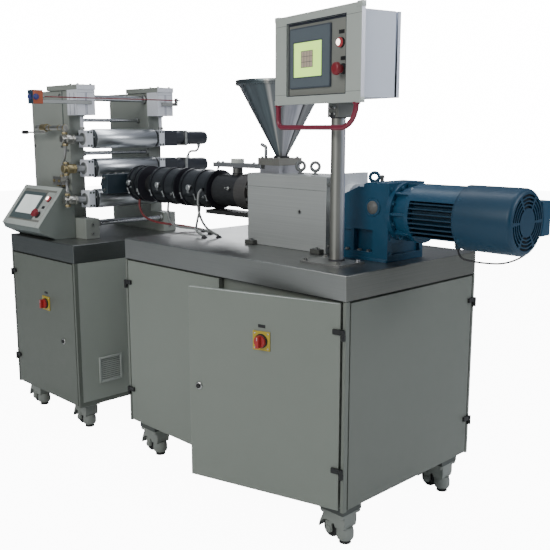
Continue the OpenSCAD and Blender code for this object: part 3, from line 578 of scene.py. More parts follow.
# The two tables. Each top is one pan of brushed stainless sheet with its skirt
# folded down all round, welded and dressed at the corners.
brushed_steel, asked, given, place = surface_group("brushed_steel", ("Grain", (3.0, 3.0, 900.0)),
                                                   ("Dull", 0.25), ("Smudge", 0.2))
scratched = worked(brushed_steel, "MULTIPLY", place, asked["Grain"], kind="ShaderNodeVectorMath")
lines = noise_of(brushed_steel, scratched, 1.0, 3.0, 0.6)
smeared = worked(brushed_steel, "MULTIPLY", noise_of(brushed_steel, place, 5.0, 6.0, 0.65),
                 asked["Smudge"])
sheen = worked(brushed_steel, "MULTIPLY_ADD", lines, 0.12, asked["Dull"])
set_input(brushed_steel, given["Roughness"], worked(brushed_steel, "ADD", sheen, smeared))
set_input(brushed_steel, given["Colour"], mixed(brushed_steel, lines, asked["Colour"],
                                                valued(brushed_steel, asked["Colour"], 0.72)))
set_input(brushed_steel, given["Height"], lines)


def steel(name, colour, dull=0.22, grain=(3.0, 3.0, 900.0), smudge=0.2, strength=0.08,
          metallic=1.0):
    """Bare metal: how dull it is, how its scratches lie and how smeared it is."""
    return skinned(name, brushed_steel, {"Grain": grain, "Dull": dull, "Smudge": smudge}, colour,
                   strength, 0.0002, metallic)


skirt_steel = steel("skirt_steel", (0.40, 0.41, 0.395), 0.26)
top_steel = steel("top_steel", (0.36, 0.365, 0.355), 0.16, (6.0, 300.0, 1.0), 0.28)
# The next two are darker copies of the skirt's steel: painted shade on the extruder table's motor
# end and on the roll table's skirt.
end_shade_steel = steel("end_shade_steel", (0.235, 0.24, 0.22), 0.3)
roll_shade_steel = steel("roll_shade_steel", (0.19, 0.205, 0.20), 0.3)


def up_face(level):
    """Tells a table's top and its motor end, in painted shade, from its skirt."""

    def pick(point):
        if point.z * 1000 > level:
            return 1
        return 2 if point.x > line_zero.x - 0.004 else 0

    return pick


for node, level, front in (("extruder_table", 885.0, skirt_steel),
                           ("roll_table", 825.0, roll_shade_steel)):
    dressed(node, [front, top_steel, end_shade_steel], 3, up_face(level), segments=3)
seams = bmesh.new()
for x0, x1, half, low, high in ((-1145, 0, 346, 806, 886), (-2030, -1470, 386, 748, 826)):
    add_box(seams, (x0 + 2, -half - 0.3, low + 1), (x1 - 2, -half + 2, low + 2.2))
    add_box(seams, (x1 - 2, -half + 2, low + 1), (x1 + 0.3, half - 2, low + 2.2))
piece_of("skirt_folds", seams, [hinge_and_shade_black])

# The main switches and the locks on the doors. Each switch is a yellow moulded
# plate screwed to the door, with a red rotary grip; each lock is a plated quarter turn.
yellow_plastic = painted("yellow_plastic", (0.50, 0.37, 0.035), 0.1, 300.0, 0.34, 0.05)
red_plastic = painted("red_plastic", (0.42, 0.028, 0.026), 0.1, 300.0, 0.28, 0.05)
black_plastic = painted("black_plastic", (0.014, 0.014, 0.015), 0.15, 400.0, 0.36, 0.08)
nickel = steel("nickel", (0.60, 0.60, 0.58), 0.16, (200.0, 200.0, 200.0), 0.15)


def turned(shape, profile, centre, axis, sides=48, index=0):
    """Turns a profile of (radius, distance along the axis) pairs round an axis, in millimetres."""
    axis = Vector(axis).normalized()
    side = axis.orthogonal().normalized()
    other = axis.cross(side)
    rings = []
    for r, along in profile:
        base = centre + axis * (along / 1000)
        rings.append([shape.verts.new(base)] if r == 0 else
                     ring_of(shape, base, r / 1000, side, other, sides))
    made = []
    for first, second in zip(rings, rings[1:]):
        for k in range(sides if len(first) + len(second) > 2 else 0):
            ends = ((first, k), (first, k + 1), (second, k + 1), (second, k))
            corners = dict.fromkeys(ring[i % len(ring)] for ring, i in ends)
            made.append(shape.faces.new(list(corners)))
            made[-1].material_index = index
    return made


outward = {"right_door": Matrix.Rotation(ajar, 3, "Z") @ Vector((0, -1, 0)),
           "roll_door": Vector((0, -1, 0))}
switches = (("right_door", "extruder_switch", on_ajar, -288, -346, 653),
            ("roll_door", "roll_switch", spot, -1721, -386, 542))
for body, switch, turn, x, y, z in switches:
    out = outward[body]
    plate = bmesh.new()
    add_box(plate, (x - 31, y - 4, z - 31), (x + 31, y, z + 31), 0, turn)
    turned(plate, [(23, 0), (23, 4.5), (21.5, 6), (0, 6)], turn(x, y - 4, z), out, 48, 1)
    for dx in (-24, 24):
        for dz in (-24, 24):
            turned(plate, [(3, 0), (3, 0.8), (0, 1.2)], turn(x + dx, y - 4, z + dz), out, 16, 2)
    piece_of(switch + "_plate_made", plate, [yellow_plastic, black_plastic, nickel],
             (switch + "_plate",), 0.8, body=body)
    knob = bmesh.new()
    turned(knob, [(0, 0), (20, 0), (20.2, 5), (19, 8), (0, 8.5)], turn(x, y - 10.5, z), out)
    add_box(knob, (x - 6, y - 32, z - 18.5), (x + 6, y - 18, z + 18.5), 0, turn)
    add_box(knob, (x - 1, y - 32.4, z + 6), (x + 1, y - 31.8, z + 17), 1, turn)
    piece_of(switch + "_knob_made", knob, [red_plastic, fold_highlight_and_mark],
             (switch + "_knob",), 1.6, 3, body=switch + "_knob")
    label = bmesh.new()
    add_box(label, (x - 13, y - 1.2, z + 42), (x + 13, y, z + 52), 0, turn)
    piece_of(switch + "_label", label, [black_plastic], edge=0.4, body=body)

for body, node, turn, x, y, z in (
        ("right_door", "right_door_lock", on_ajar, -530.5, -346, 467),
        ("roll_door", "roll_door_lock", spot, -1583, -386, 392)):
    lock = bmesh.new()
    turned(lock, [(13, 0), (13, 3), (10.5, 5), (8.5, 5.5), (8.5, 4), (0, 4)], turn(x, y, z),
           outward[body], 32)
    turned(lock, [(0, 3.5), (7, 3.5), (7.8, 9), (6, 10.5), (0, 10.8)], turn(x, y, z), outward[body],
           24, 1)
    add_box(lock, (x - 1.2, y - 11.2, z - 5), (x + 1.2, y - 10.2, z + 5), 1, turn)
    piece_of(node + "_made", lock, [nickel, black_plastic], (node,), 0.3,
             body=body)

# The feed housing. A heavy machined block on the table that carries the screw's
# thrust bearing, with a coupling behind it, clamped down by dark foot blocks.
housing_metal = steel("housing_metal", (0.56, 0.58, 0.565), 0.36, (2.0, 2.0, 260.0), 0.2, 0.05, 0.5)
adapter_metal = steel("adapter_metal", (0.82, 0.84, 0.86), 0.34, (120.0, 120.0, 120.0), 0.15, 0.1,
                      0.0)
foot_grey = painted("foot_grey", (0.085, 0.088, 0.08), 0.3, 300.0, 0.4)
dark_block = painted("dark_block", (0.035, 0.038, 0.036), 0.3, 300.0, 0.4)
zinc = steel("zinc", (0.42, 0.43, 0.42), 0.28, (160.0, 160.0, 160.0), 0.3)


def is_foot(point):
    """Tells the foot blocks and the adapter from the housing."""
    x, y, z = in_line(point)
    if x > -321.5:
        return 1
    return 2 if abs(y) > 83.5 or z < 887 else 0


dressed("feed_housing", [housing_metal, adapter_metal, foot_grey], 2.2, is_foot,
        segments=3)

# Screws and bolts. One tree sets a head on every point of a mesh, with its washer,
# turned to the point's own outward direction.
bolt_tree, asked, given = new_group(
    "bolt_heads", "GeometryNodeTree",
    (("Points", "Geometry"), ("Sides", "Int", 6), ("Radius", "Float", 0.005),
     ("Height", "Float", 0.004), ("Washer", "Float", 0.007), ("Socket", "Float", 0.002),
     ("Finish", "Material"), ("Recess", "Material")), (("Heads", "Geometry"),))


def head_part(sides, radius, height, lift, finish):
    """One disc or prism of a bolt head, standing on its point."""
    made = node_in(bolt_tree, "GeometryNodeMeshCylinder",
                   {"Vertices": sides, "Radius": radius, "Depth": height})
    up = node_in(bolt_tree, "ShaderNodeCombineXYZ",
                 {"Z": worked(bolt_tree, "MULTIPLY", height, lift)})
    raised = node_in(bolt_tree, "GeometryNodeTransform", {"Geometry": made, "Translation": up})
    return node_in(bolt_tree, "GeometryNodeSetMaterial", {"Geometry": raised, "Material": finish})


heads = bolt_tree.nodes.new("GeometryNodeJoinGeometry")
for part in (head_part(asked["Sides"], asked["Radius"], asked["Height"], 0.5, asked["Finish"]),
             head_part(16, asked["Washer"], 0.0012, 0.5, asked["Finish"]),
             head_part(6, asked["Socket"], worked(bolt_tree, "MULTIPLY", asked["Height"], 1.02),
                       0.515, asked["Recess"])):
    set_input(bolt_tree, heads.inputs[0], part)
facing = node_in(bolt_tree, "GeometryNodeInputNamedAttribute", {"Name": "facing"}, "Attribute",
                 data_type="FLOAT_VECTOR")
aimed = node_in(bolt_tree, "FunctionNodeAlignRotationToVector", {"Vector": facing}, axis="Z")
placed = node_in(bolt_tree, "GeometryNodeInstanceOnPoints",
                 {"Points": asked["Points"], "Instance": heads.outputs[0], "Rotation": aimed})
set_input(bolt_tree, given["Heads"],
          node_in(bolt_tree, "GeometryNodeRealizeInstances", {0: placed}))


def settled(name, made):
    """The plain mesh that an object's modifiers leave. Removes the object."""
    seen_now = bpy.context.evaluated_depsgraph_get()
    mesh = bpy.data.meshes.new_from_object(made.evaluated_get(seen_now))
    mesh.name = name
    bpy.data.objects.remove(made)
    return mesh


def grown(name, base_mesh, tree, values, body):
    """Runs a node tree on a mesh once and keeps its result as a plain piece."""
    seed = object_of(name + "_seed", base_mesh)
    growth = seed.modifiers.new("growth", "NODES")
    growth.node_group = tree
    for item in tree.interface.items_tree:
        if item.item_type == "SOCKET" and item.in_out == "INPUT" and item.name in values:
            growth[item.identifier] = values[item.name]
    seed.update_tag()
    return riding(object_of(name, settled(name, seed)), body)


def bolted(name, places, radius, height, finish=zinc, recess=black_plastic, body="line",
           sides=6, washer=1.4, socket=0.45):
    """Bolt heads at (point, outward direction) pairs, with their sizes in millimetres.
    washer and socket are shares of the radius."""
    radius, height = radius / 1000, height / 1000
    mesh = bpy.data.meshes.new(name + "_points")
    mesh.from_pydata([tuple(point) for point, _ in places], [], [])
    way = mesh.attributes.new("facing", "FLOAT_VECTOR", "POINT")
    for i, (_, out) in enumerate(places):
        way.data[i].vector = Vector(out).normalized()
    values = {"Sides": sides, "Radius": radius, "Height": height, "Washer": radius * washer,
              "Socket": radius * socket, "Finish": finish, "Recess": recess}
    return grown(name, mesh, bolt_tree, values, body)


bolted("housing_bolts", [(spot(-322, y, z), (1, 0, 0)) for y in (-68, 68) for z in (912, 1122)]
       + [(spot(-352, side * 95, 902), (0, 0, 1)) for side in (-1, 1)]
       + [(spot(-686, side * 95, 902), (0, 0, 1)) for side in (-1, 1)], 6, 5.5, sides=16)
plug_hole = bmesh.new()
turned(plug_hole, [(8.5, 0), (8.5, 1.2), (5.5, 1.2), (5.5, -1), (0, -1)], spot(-446, -83, 1022),
       (0, -1, 0), 32)
turned(plug_hole, [(5.5, 0.4), (0, 0.4)], spot(-446, -83, 1022), (0, -1, 0), 32, 1)
add_box(plug_hole, (-716.3, -83.3, 1100), (-321.7, -82.8, 1100.8), 1)
piece_of("housing_plug", plug_hole, [zinc, black_plastic])

# The lifting eyes. Forged, galvanised rings with a collar, screwed into the
# housing's and the gearbox's tops.
forged = steel("forged", (0.30, 0.31, 0.31), 0.42, (90.0, 90.0, 90.0), 0.4, 0.3)
eye_blue = painted("eye_blue", (0.02, 0.085, 0.15), 0.3, 260.0, 0.3, 0.3)


def eye(shape, x, y, z, index=0):
    """A lifting eye standing on the height z."""
    turned(shape, [(0, 0), (11, 0), (11, 3), (9.5, 4), (5.8, 6), (5.6, 14), (0, 14.5)],
           spot(x, y, z), (0, 0, 1), 32, index)
    middle = spot(x, y, z + 28)
    across, ahead = Vector((0.8, 0.6, 0)), Vector((-0.6, 0.8, 0))
    ring = [middle + 0.0148 * (math.cos(a) * across + math.sin(a) * Vector((0, 0, 1)))
            for a in (2 * math.pi * k / 40 for k in range(40))]
    rows = []
    for k, point in enumerate(ring):
        out = (point - middle).normalized()
        thick = 0.0057 + 0.0006 * max(0.0, -out.z)
        rows.append(ring_of(shape, point, thick, out, ahead, 14))
    for k in range(40):
        for j in range(14):
            a, b = rows[k], rows[(k + 1) % 40]
            shape.faces.new((a[j], b[j], b[(j + 1) % 14], a[(j + 1) % 14])).material_index = index


eyes = bmesh.new()
eye(eyes, -522, 0, 1148)
eye(eyes, -450, 0, 1148)
eye(eyes, -182, 0, 1123, 1)
piece_of("lifting_eyes_made", eyes, [forged, eye_blue], ("lifting_eyes",),
         outwards=True)

# The gearbox. A cast-iron case under thick blue enamel: sloped at the coupling's
# side, with a foot recess low down, a blank round cover and bolted feet.
blue_enamel = painted("blue_enamel", (0.014, 0.072, 0.135), 0.45, 160.0, 0.30, 0.35, 0.0008)
blue_smooth = painted("blue_smooth", (0.011, 0.052, 0.098), 0.3, 380.0, 0.36, 0.12, 0.0004)
for enamel in (blue_enamel, blue_smooth):
    shaded(enamel, {"Coat Weight": 0.15, "Coat Roughness": 0.3, "Specular IOR Level": 0.3})


def carved(piece, cutter_shape):
    """Cuts a shape out of a piece's mesh, before its other modifiers."""
    bmesh.ops.recalc_face_normals(cutter_shape, faces=cutter_shape.faces)
    cutter = object_of("cutter", mesh_of("cutter", cutter_shape))
    bare = object_of("bare", piece.data)
    cut = bare.modifiers.new("cut", "BOOLEAN")
    cut.object = cutter
    cut.solver = "FAST"
    piece.data = settled(piece.name, bare)
    bpy.data.objects.remove(cutter)
    shape = bmesh.new()
    shape.from_mesh(piece.data)
    bmesh.ops.dissolve_limit(shape, angle_limit=flat_angle, verts=shape.verts, edges=shape.edges)
    soft_edges(shape)
    shape.to_mesh(piece.data)
    shape.free()


gear_case = dressed("gearbox", [blue_enamel], 6, segments=4)
pockets = bmesh.new()
add_box(pockets, (-200, -90, 914), (-122, -58, 986))
add_box(pockets, (-260, -90, 914), (-207, -74, 980))
add_box(pockets, (-200, 88, 914), (-122, 120, 986))
add_box(pockets, (-70, -60, 910), (-50, 90, 948))
carved(gear_case, pockets)
case_parts = bmesh.new()
add_box(case_parts, (-252, -83.6, 886), (-63, -79, 897))
add_box(case_parts, (-110, -60, 1138.4), (-70, 90, 1139.6))
for z in (1010, 1040):
    add_box(case_parts, (-61, -70, z), (-56, 100, z + 8))
turned(case_parts, [(29, 0), (29, 1.8), (26.5, 3.6), (0, 3.6)], spot(-121, -80.2, 1060), (0, -1, 0))
piece_of("gearbox_details", case_parts, [blue_enamel], edge=1.2)
badge = bmesh.new()
turned(badge, [(21.5, 0), (21.5, 0.8), (0, 0.8)], spot(-121, -83.8, 1060), (0, -1, 0), 40)
worn_badge = painted("worn_badge", (0.16, 0.16, 0.15), 0.9, 90.0, 0.35, 0.3)
piece_of("gearbox_badge", badge, [worn_badge])
bolted("gearbox_bolts", [(spot(-145, -70, 914), (0, 0, 1)), (spot(-182, -70, 914), (0, 0, 1)),
                         (spot(-228, -79, 914), (0, 0, 1))], 6.5, 6)
breather = bmesh.new()
turned(breather, [(0, 0), (8, 0), (8, 5), (6, 6), (6, 14), (7.5, 15), (7.5, 20), (5, 24),
                  (0, 24.5)], spot(-150, 0, 1135), (0, 0, 1), 24)
piece_of("gearbox_breather", breather, [worn_badge], edge=0.6)
bolted("gearbox_cover_bolts",
       [(spot(-60, y, z), (1, 0, 0)) for y in (-66, 96) for z in (915, 960, 1120)]
       + [(spot(-194, y, 1119), (-0.385, 0, 0.923)) for y in (-64, 64, 94)],
       5, 4, eye_blue, eye_blue)

# The motor. A finned cast body behind a bell, with a smooth top under the cable
# duct, all in the gearbox's blue enamel.
fin_blue = painted("fin_blue", (0.010, 0.050, 0.092), 0.5, 200.0, 0.24, 0.3, 0.0006)


def is_finned(point):
    """Tells the finned lower part of the motor from its smooth top and bell."""
    x, y, z = in_line(point)
    return 1 if x > 25 and z < motor_z + 45 else 0


dressed("motor_body", [blue_enamel, fin_blue], pick=is_finned)
bolted("bell_bolts", [(spot(-44, 84 * math.cos(a), motor_z + 84 * math.sin(a)), (1, 0, 0))
                      for a in evenly(8, 22.5)], 6, 6, eye_blue, eye_blue)
bell_ribs = bmesh.new()
for a in evenly(8, 0):
    mid = Vector((0, math.cos(a), math.sin(a)))
    side = Vector((0, -math.sin(a), math.cos(a))) * 0.004
    inner, outer = spot(-44, 0, motor_z), spot(10, 0, motor_z)
    quad = [inner + mid * 0.074, outer + mid * 0.086, outer + mid * 0.0915, inner + mid * 0.0925]
    sides = [[bell_ribs.verts.new(p + side * s) for p in quad] for s in (-1, 1)]
    bridged(bell_ribs, sides)
piece_of("bell_ribs", bell_ribs, [blue_enamel], edge=1, outwards=True)

# The fan cover. Pressed sheet with a rounded end, whose air slots are rings sunk in
# six parts round a plain middle disc, with painted shade on their floors for the cover's dark
# inside.
cover = bmesh.new()
start_x, bend_x, end_x, cover_r = 184, 360, 375, 98.5
outline = [(cover_r - 2, 0), (cover_r, 0.5), (cover_r, 3), (cover_r - 0.8, 4), (cover_r, 5),
           (cover_r, bend_x - start_x)]
bend_r = end_x - bend_x
outline += [(cover_r - bend_r * (1 - math.cos(a)), bend_x - start_x + bend_r * math.sin(a))
            for a in (math.radians(11 * k) for k in range(1, 9))]
slot_rings = []
for outer in (82, 71, 60, 49):
    slot_rings.append(outer)
    outline += [(outer, end_x - start_x), (outer - 7, end_x - start_x)]
outline += [(36.5, end_x - start_x), (35.5, end_x - start_x), (0, end_x - start_x)]
faces = turned(cover, outline, spot(start_x, 0, motor_z), (1, 0, 0), 96)
slots = []
for face in faces:
    middle = (face.calc_center_median() - spot(end_x, 0, motor_z)) * 1000
    r = math.hypot(middle.y, middle.z)
    a = math.degrees(math.atan2(middle.z, middle.y)) % 60
    flat = abs(middle.x) < 0.01
    if flat and 4 < a < 56 and any(ring - 7 < r < ring for ring in slot_rings):
        slots.append(face)
bmesh.ops.remove_doubles(cover, verts=cover.verts, dist=1e-7)
slots = [face for face in slots if face.is_valid]
pushed = bmesh.ops.extrude_face_region(cover, geom=slots)
sunk = [v for v in pushed["geom"] if isinstance(v, bmesh.types.BMVert)]
bmesh.ops.translate(cover, verts=sunk, vec=(-0.007, 0, 0))
for face in pushed["geom"]:
    if isinstance(face, bmesh.types.BMFace):
        face.material_index = 1
bmesh.ops.delete(cover, geom=[f for f in slots if f.is_valid], context="FACES_ONLY")
# The slots' sunk floors take painted shade, for the dark inside of the cover.
slot_shade_dark = painted("slot_shade_dark", (0.004, 0.010, 0.018), 0.3, 200.0, 0.6)
piece_of("fan_cover_made", cover, [blue_smooth, slot_shade_dark], ("fan_cover",))
bolted("fan_cover_screws", [(spot(start_x + 14, 97.6 * math.cos(a), motor_z + 97.6 * math.sin(a)),
                             (0, math.cos(a), math.sin(a)))
                            for a in (math.radians(v) for v in (38, 142, 218, 322))], 4, 1.8,
       eye_blue, sides=16)

# The motor's terminal box and the cable glands. A small cast box with a screwed
# lid on the motor's far side; the glands are black nylon.
dressed("terminal_box", [blue_enamel], 4, segments=3)
lid = bmesh.new()
add_box(lid, (270, 137.2, 997), (370, 143.2, 1098))
add_box(lid, (268.5, 138.6, 995.5), (371.5, 139.6, 1099.5))
piece_of("terminal_lid", lid, [blue_enamel], edge=1.2)
glands = bmesh.new()
gland_profile = [(0, -4), (6.2, -4), (8.8, 0), (10.5, 2), (10.5, 10), (12.2, 11), (12.2, 18),
                 (0, 18)]
turned(glands, gland_profile, spot(150, 0, 948), (0, 0, 1), 24)
turned(glands, [(r * 0.9, along) for r, along in gland_profile[:6]] + [(0, 11)],
       spot(340, 121.5, 984), (0, 0, 1), 24)
piece_of("cable_glands", glands, [black_plastic])

# The barrel. A thick nitrided steel tube between the housing and the die, with a
# turned flange and a stepped neck, darkened by heat; a flat bar runs under it.
barrel_steel = steel("barrel_steel", (0.085, 0.088, 0.092), 0.3, (40.0, 600.0, 600.0), 0.45, 0.12)
neck_steel = steel("neck_steel", (0.17, 0.165, 0.16), 0.34, (30.0, 500.0, 500.0), 0.4, 0.12)
bar_steel = steel("bar_steel", (0.10, 0.10, 0.10), 0.35, (3.0, 3.0, 500.0), 0.4)


def barrel_part(point):
    """The barrel, its stepped neck or the flat bar under it."""
    x, y, z = in_line(point)
    if z < screw_z - 79.9:
        return 2
    return 1 if x > -816 else 0


dressed("barrel", [barrel_steel, neck_steel, bar_steel], pick=barrel_part)
bolted("barrel_flange_bolts", [(spot(-750, 61 * math.cos(a), screw_z + 61 * math.sin(a)), (1, 0, 0))
                               for a in evenly(8, 22.5)], 6, 6, sides=16, washer=1.15)
probe = bmesh.new()
turned(probe, [(0, -4), (5, -4), (5, 6), (7.5, 6), (7.5, 12), (3, 14), (3, 26), (0, 27)],
       spot(-842, -62, screw_z + 12), (0, -1, 0.2), 24)
turned(probe, [(58, 0), (58, 6), (50, 6)], spot(-1545, 0, screw_z), (-1, 0, 0))
piece_of("barrel_probe", probe, [zinc], outwards=True)

# The heater bands. Mica heaters rolled from dark steel sheet in two halves, closed
# by clamp straps, each with its round terminal cover and strap bolts.
band_sheet = painted("band_sheet", (0.040, 0.046, 0.052), 0.5, 240.0, 0.30, 0.25, 0.0006, 0.45)
band_strap = painted("band_strap", (0.013, 0.017, 0.020), 0.4, 240.0, 0.34, 0.2, 0.0005, 0.3)
mica = painted("mica", (0.012, 0.011, 0.019), 0.3, 200.0, 0.6)
cover_bright = steel("cover_bright", (0.72, 0.74, 0.74), 0.24, (200.0, 200.0, 200.0), 0.15)
bands = [(band_x - band_pitch * k, half) for k, half in enumerate((88, 88, 44))]


def band_part(point):
    """The strap, the sheet or the dark end of a band."""
    x, y, z = in_line(point)
    r = math.hypot(y, z - screw_z)
    if r > 80 and abs(z - screw_z - 6) < 13:
        return 3
    if z < screw_z - 60 and abs(y + 40) < 9:
        return 1
    if r > 77:
        return 1
    return 0 if r > 73 else 2


dressed("heater_bands", [band_sheet, band_strap, mica, cover_bright], 1.1,
        band_part)
band_bits = bmesh.new()
pinch_turn = math.radians(-158)
for mid, half in bands:
    strap_places = (mid - half + 7, *((mid + 7,) if half > 60 else ()), mid + half - 7)
    turned(band_bits, [(12.5, 0), (12.5, 2), (10.5, 3.5), (4, 3.5), (3, 2.5), (0, 2.5)],
           spot(mid - 20, -85, screw_z + 6), (0, -1, 0), 32)
    # The seam between the two halves of the sheet, and the pinched ends of the straps
    for turn in (pinch_turn, pinch_turn + math.pi):
        out = Vector((0, math.cos(turn), math.sin(turn)))
        along = Vector((0, -math.sin(turn), math.cos(turn)))
        for lift in (-1, 1):
            base = spot(mid, 0, screw_z) + out * 0.0752 + along * 0.003 * lift
            quad = [base + along * 0.0008 * lift + Vector((s * (half - 1.5) / 1000, 0, 0)) + out * h
                    for s, h in ((-1, -0.001), (1, -0.001), (1, 0.0026), (-1, 0.0026))]
            back = [p - along * 0.0012 * lift for p in quad]
            rows = [[band_bits.verts.new(p) for p in loop] for loop in (quad, back)]
            bridged(band_bits, rows, 1)
    out = Vector((0, math.cos(pinch_turn), math.sin(pinch_turn)))
    along = Vector((0, -math.sin(pinch_turn), math.cos(pinch_turn)))
    for x in strap_places:
        foot = spot(x, 0, screw_z) + out * 0.079
        add_rod(band_bits, foot + along * 0.012, foot - along * 0.012, 2.6, 12)
        for way in (-1, 1):
            add_rod(band_bits, foot + along * 0.008 * way, foot + along * 0.014 * way, 4.2, 6)
piece_of("heater_band_details", band_bits, [cover_bright, band_strap],
         outwards=True)
bolted("heater_band_bolts",
       [(spot(mid + half * 0.72, -72.5, screw_z - 27), (0, -1, -0.36)) for mid, half in bands]
       + [(spot(mid - half * 0.35, -74.5, screw_z - 12), (0, -1, -0.15)) for mid, half in bands],
       4.2, 5, cover_bright, washer=1.3)

# The grommets. Rubber rings where the heater cables go down through the table.
grommets = bmesh.new()
grommet_feet = [(-930, -120), (-900, -70), (-1000, -30), (-1090, 10)]
for x, y in grommet_feet:
    turned(grommets, [(5.2, 0), (11.5, 0), (12.2, 1.2), (11.2, 3.2), (8.5, 6.5), (6.6, 8),
                      (5.2, 8)], spot(x, y, table_z), (0, 0, 1), 32)
piece_of("cable_grommets_made", grommets, [black_rubber], ("cable_grommets",))

# The die. A coat-hanger slot die in two dark blue lacquered halves, clamped by
# socket screws, with its lip bolts along the outlet.
die_lacquer = painted("die_lacquer", (0.026, 0.042, 0.055), 0.4, 220.0, 0.22, 0.3, 0.0006)
dressed("die", [die_lacquer], 2.5, segments=3)
bolted("die_clamp_bolts", [(spot(-1566, y, screw_z + 43), (0, 0, 1)) for y in range(-140, 141, 40)]
       + [(spot(-1597, y, screw_z + 24), (-0.87, 0, 0.5)) for y in range(-144, 145, 24)], 6.5, 6,
       sides=16, washer=1.15)
bolted("die_end_bolts",
       [(spot(-1566 + dx, side * 160, screw_z + dz), (0, side, 0)) for side in (-1, 1)
        for dx, dz in ((0, 26), (0, -26), (-22, 0))], 6, 5, sides=16, washer=1.15)

# The hopper. A cone of polished stainless sheet with one welded seam, a rolled rim
# band and a short spout. Its polish leaves faint streaks down the cone, and bands of
# painted reflection run round it.
streaked, asked, given, place = surface_group("streaked_sheet", ("Streaks", 9.0), ("Contrast", 0.4),
                                              ("Dull", 0.2), ("Centre", (0.0, 0.0, 0.0)))


def vector_work(operation, *values):
    """What a vector maths node makes in the hopper's own group."""
    return worked(streaked, operation, *values, kind="ShaderNodeVectorMath")


centred = vector_work("SUBTRACT", place, asked["Centre"])
ring = vector_work("NORMALIZE", vector_work("MULTIPLY", centred, (1.0, 1.0, 0.0)))
streak = noise_of(streaked, vector_work("MULTIPLY_ADD", centred, (0.0, 0.0, 0.6), ring),
                  asked["Streaks"], 4.0, 0.65)
spread = ranged(streaked, streak, 0.32, 0.68)
keep = worked(streaked, "SUBTRACT", 1.0, worked(streaked, "MULTIPLY", spread, asked["Contrast"]))
set_input(streaked, given["Colour"], valued(streaked, asked["Colour"], keep))
set_input(streaked, given["Roughness"],
          worked(streaked, "MULTIPLY_ADD", spread, 0.12, asked["Dull"]))
set_input(streaked, given["Height"], streak)
hopper_centre = spot(-620, 0, 0)


def painted_reflections(material, centre, stops):
    """Paints reflections on an upright round piece: tones it by how far across it a point
    lies, as the light and dark parts of a workshop would show in polished sheet."""
    tree = material.node_tree
    before = shader_of(material).inputs["Base Color"].links[0].from_socket
    source = where_is(tree)
    for operation, value in (("SUBTRACT", centre), ("MULTIPLY", (1.0, 1.0, 0.0)),
                             ("NORMALIZE", None), ("DOT_PRODUCT", (0.697, 0.717, 0.0))):
        source = worked(tree, operation, source, *([] if value is None else [value]),
                        kind="ShaderNodeVectorMath")
    reflected_tone = ramp_in(tree, ranged(tree, source, -1.0), stops)
    shaded(material, {"Base Color": mixed(tree, 1.0, before, reflected_tone, "MULTIPLY")})


# Bands of painted reflection for the cone and its rim.
cone_reflection_bands = [(0.0, (0.30, 0.27, 0.24)), (0.04, (0.10, 0.13, 0.15)), (0.30, (0.14, 0.18, 0.20)),
              (0.345, (0.75, 0.74, 0.70)), (0.375, (0.22, 0.24, 0.25)), (0.50, (0.30, 0.32, 0.33)),
              (0.56, (0.80, 0.80, 0.86)), (0.66, (0.62, 0.62, 0.68)), (0.80, (0.90, 0.90, 0.96)),
              (0.825, (0.10, 0.10, 0.10)), (0.86, (0.42, 0.42, 0.42)), (1.0, (0.26, 0.28, 0.28))]
cone_steel = skinned("cone_steel", streaked, {"Streaks": 5.0, "Contrast": 0.45, "Dull": 0.16,
                                              "Centre": hopper_centre},
                     (0.80, 0.80, 0.80), 0.05, 0.0004, 0.4)
rim_steel = skinned("rim_steel", streaked, {"Streaks": 14.0, "Contrast": 0.5, "Dull": 0.22,
                                            "Centre": hopper_centre},
                    (0.85, 0.85, 0.83), 0.05, 0.0004, 0.5)
for sheet in (cone_steel, rim_steel):
    painted_reflections(sheet, hopper_centre, cone_reflection_bands)
weld_grey = steel("weld_grey", (0.10, 0.10, 0.105), 0.35, (200.0, 200.0, 200.0), 0.5, 0.4)
hopper = bmesh.new()
rim_z = table_z + 594
cone_outside = [(23.2, 1203), (23.2, 1213), (153 + 3.2, rim_z - 18), (164, rim_z - 18.5),
                (166.2, rim_z - 17.5), (167, rim_z - 15), (167, rim_z - 3), (166, rim_z - 0.8),
                (163.5, rim_z), (156.2, rim_z), (153.5, rim_z - 1.2), (153, rim_z - 4),
                (153, rim_z - 18), (20.5, 1213.5), (20.5, 1203)]
faces = turned(hopper, [(r, z - 1203) for r, z in cone_outside] + [(23.2, 0)], spot(-620, 0, 1203),
               (0, 0, 1), 128)
for face in faces:
    if face.calc_center_median().z > (rim_z - 18.2) / 1000:
        face.material_index = 1
# The welded seam down the cone, the hanging lugs under the rim and the spout's collar
seam_turn = math.radians(-4)
for turn in (seam_turn, seam_turn + math.pi):
    low = spot(-620 + 24.0 * math.cos(turn), 24.0 * math.sin(turn), 1213)
    high = spot(-620 + 156.5 * math.cos(turn), 156.5 * math.sin(turn), rim_z - 18)
    add_rod(hopper, low, high, 1.4, 8, 2)
turned(hopper, [(22.8, 0), (28, 0), (29.5, 1), (29.5, 6), (28, 7), (22.8, 8)], spot(-620, 0, 1203),
       (0, 0, 1), 64, 2)
for turn in (math.radians(v) for v in (-118, 2, 122)):
    add_rod(hopper, spot(-620 + 166 * math.cos(turn), 166 * math.sin(turn), rim_z - 9),
            spot(-620 + 169.5 * math.cos(turn), 169.5 * math.sin(turn), rim_z - 9), 5, 6, 1)
piece_of("hopper_made", hopper, [cone_steel, rim_steel, weld_grey], ("hopper",),
         outwards=True)

# The hopper's base. Two machined plates on the housing, the upper one warm grey, a
# long flat bar to the drain tube, and the slide's lever.
base_grey = steel("base_grey", (0.36, 0.35, 0.32), 0.32, (160.0, 3.0, 160.0), 0.3)
base_light = steel("base_light", (0.56, 0.56, 0.60), 0.3, (160.0, 3.0, 160.0), 0.2)
bar_light = steel("bar_light", (0.40, 0.41, 0.42), 0.28, (3.0, 200.0, 300.0), 0.3)


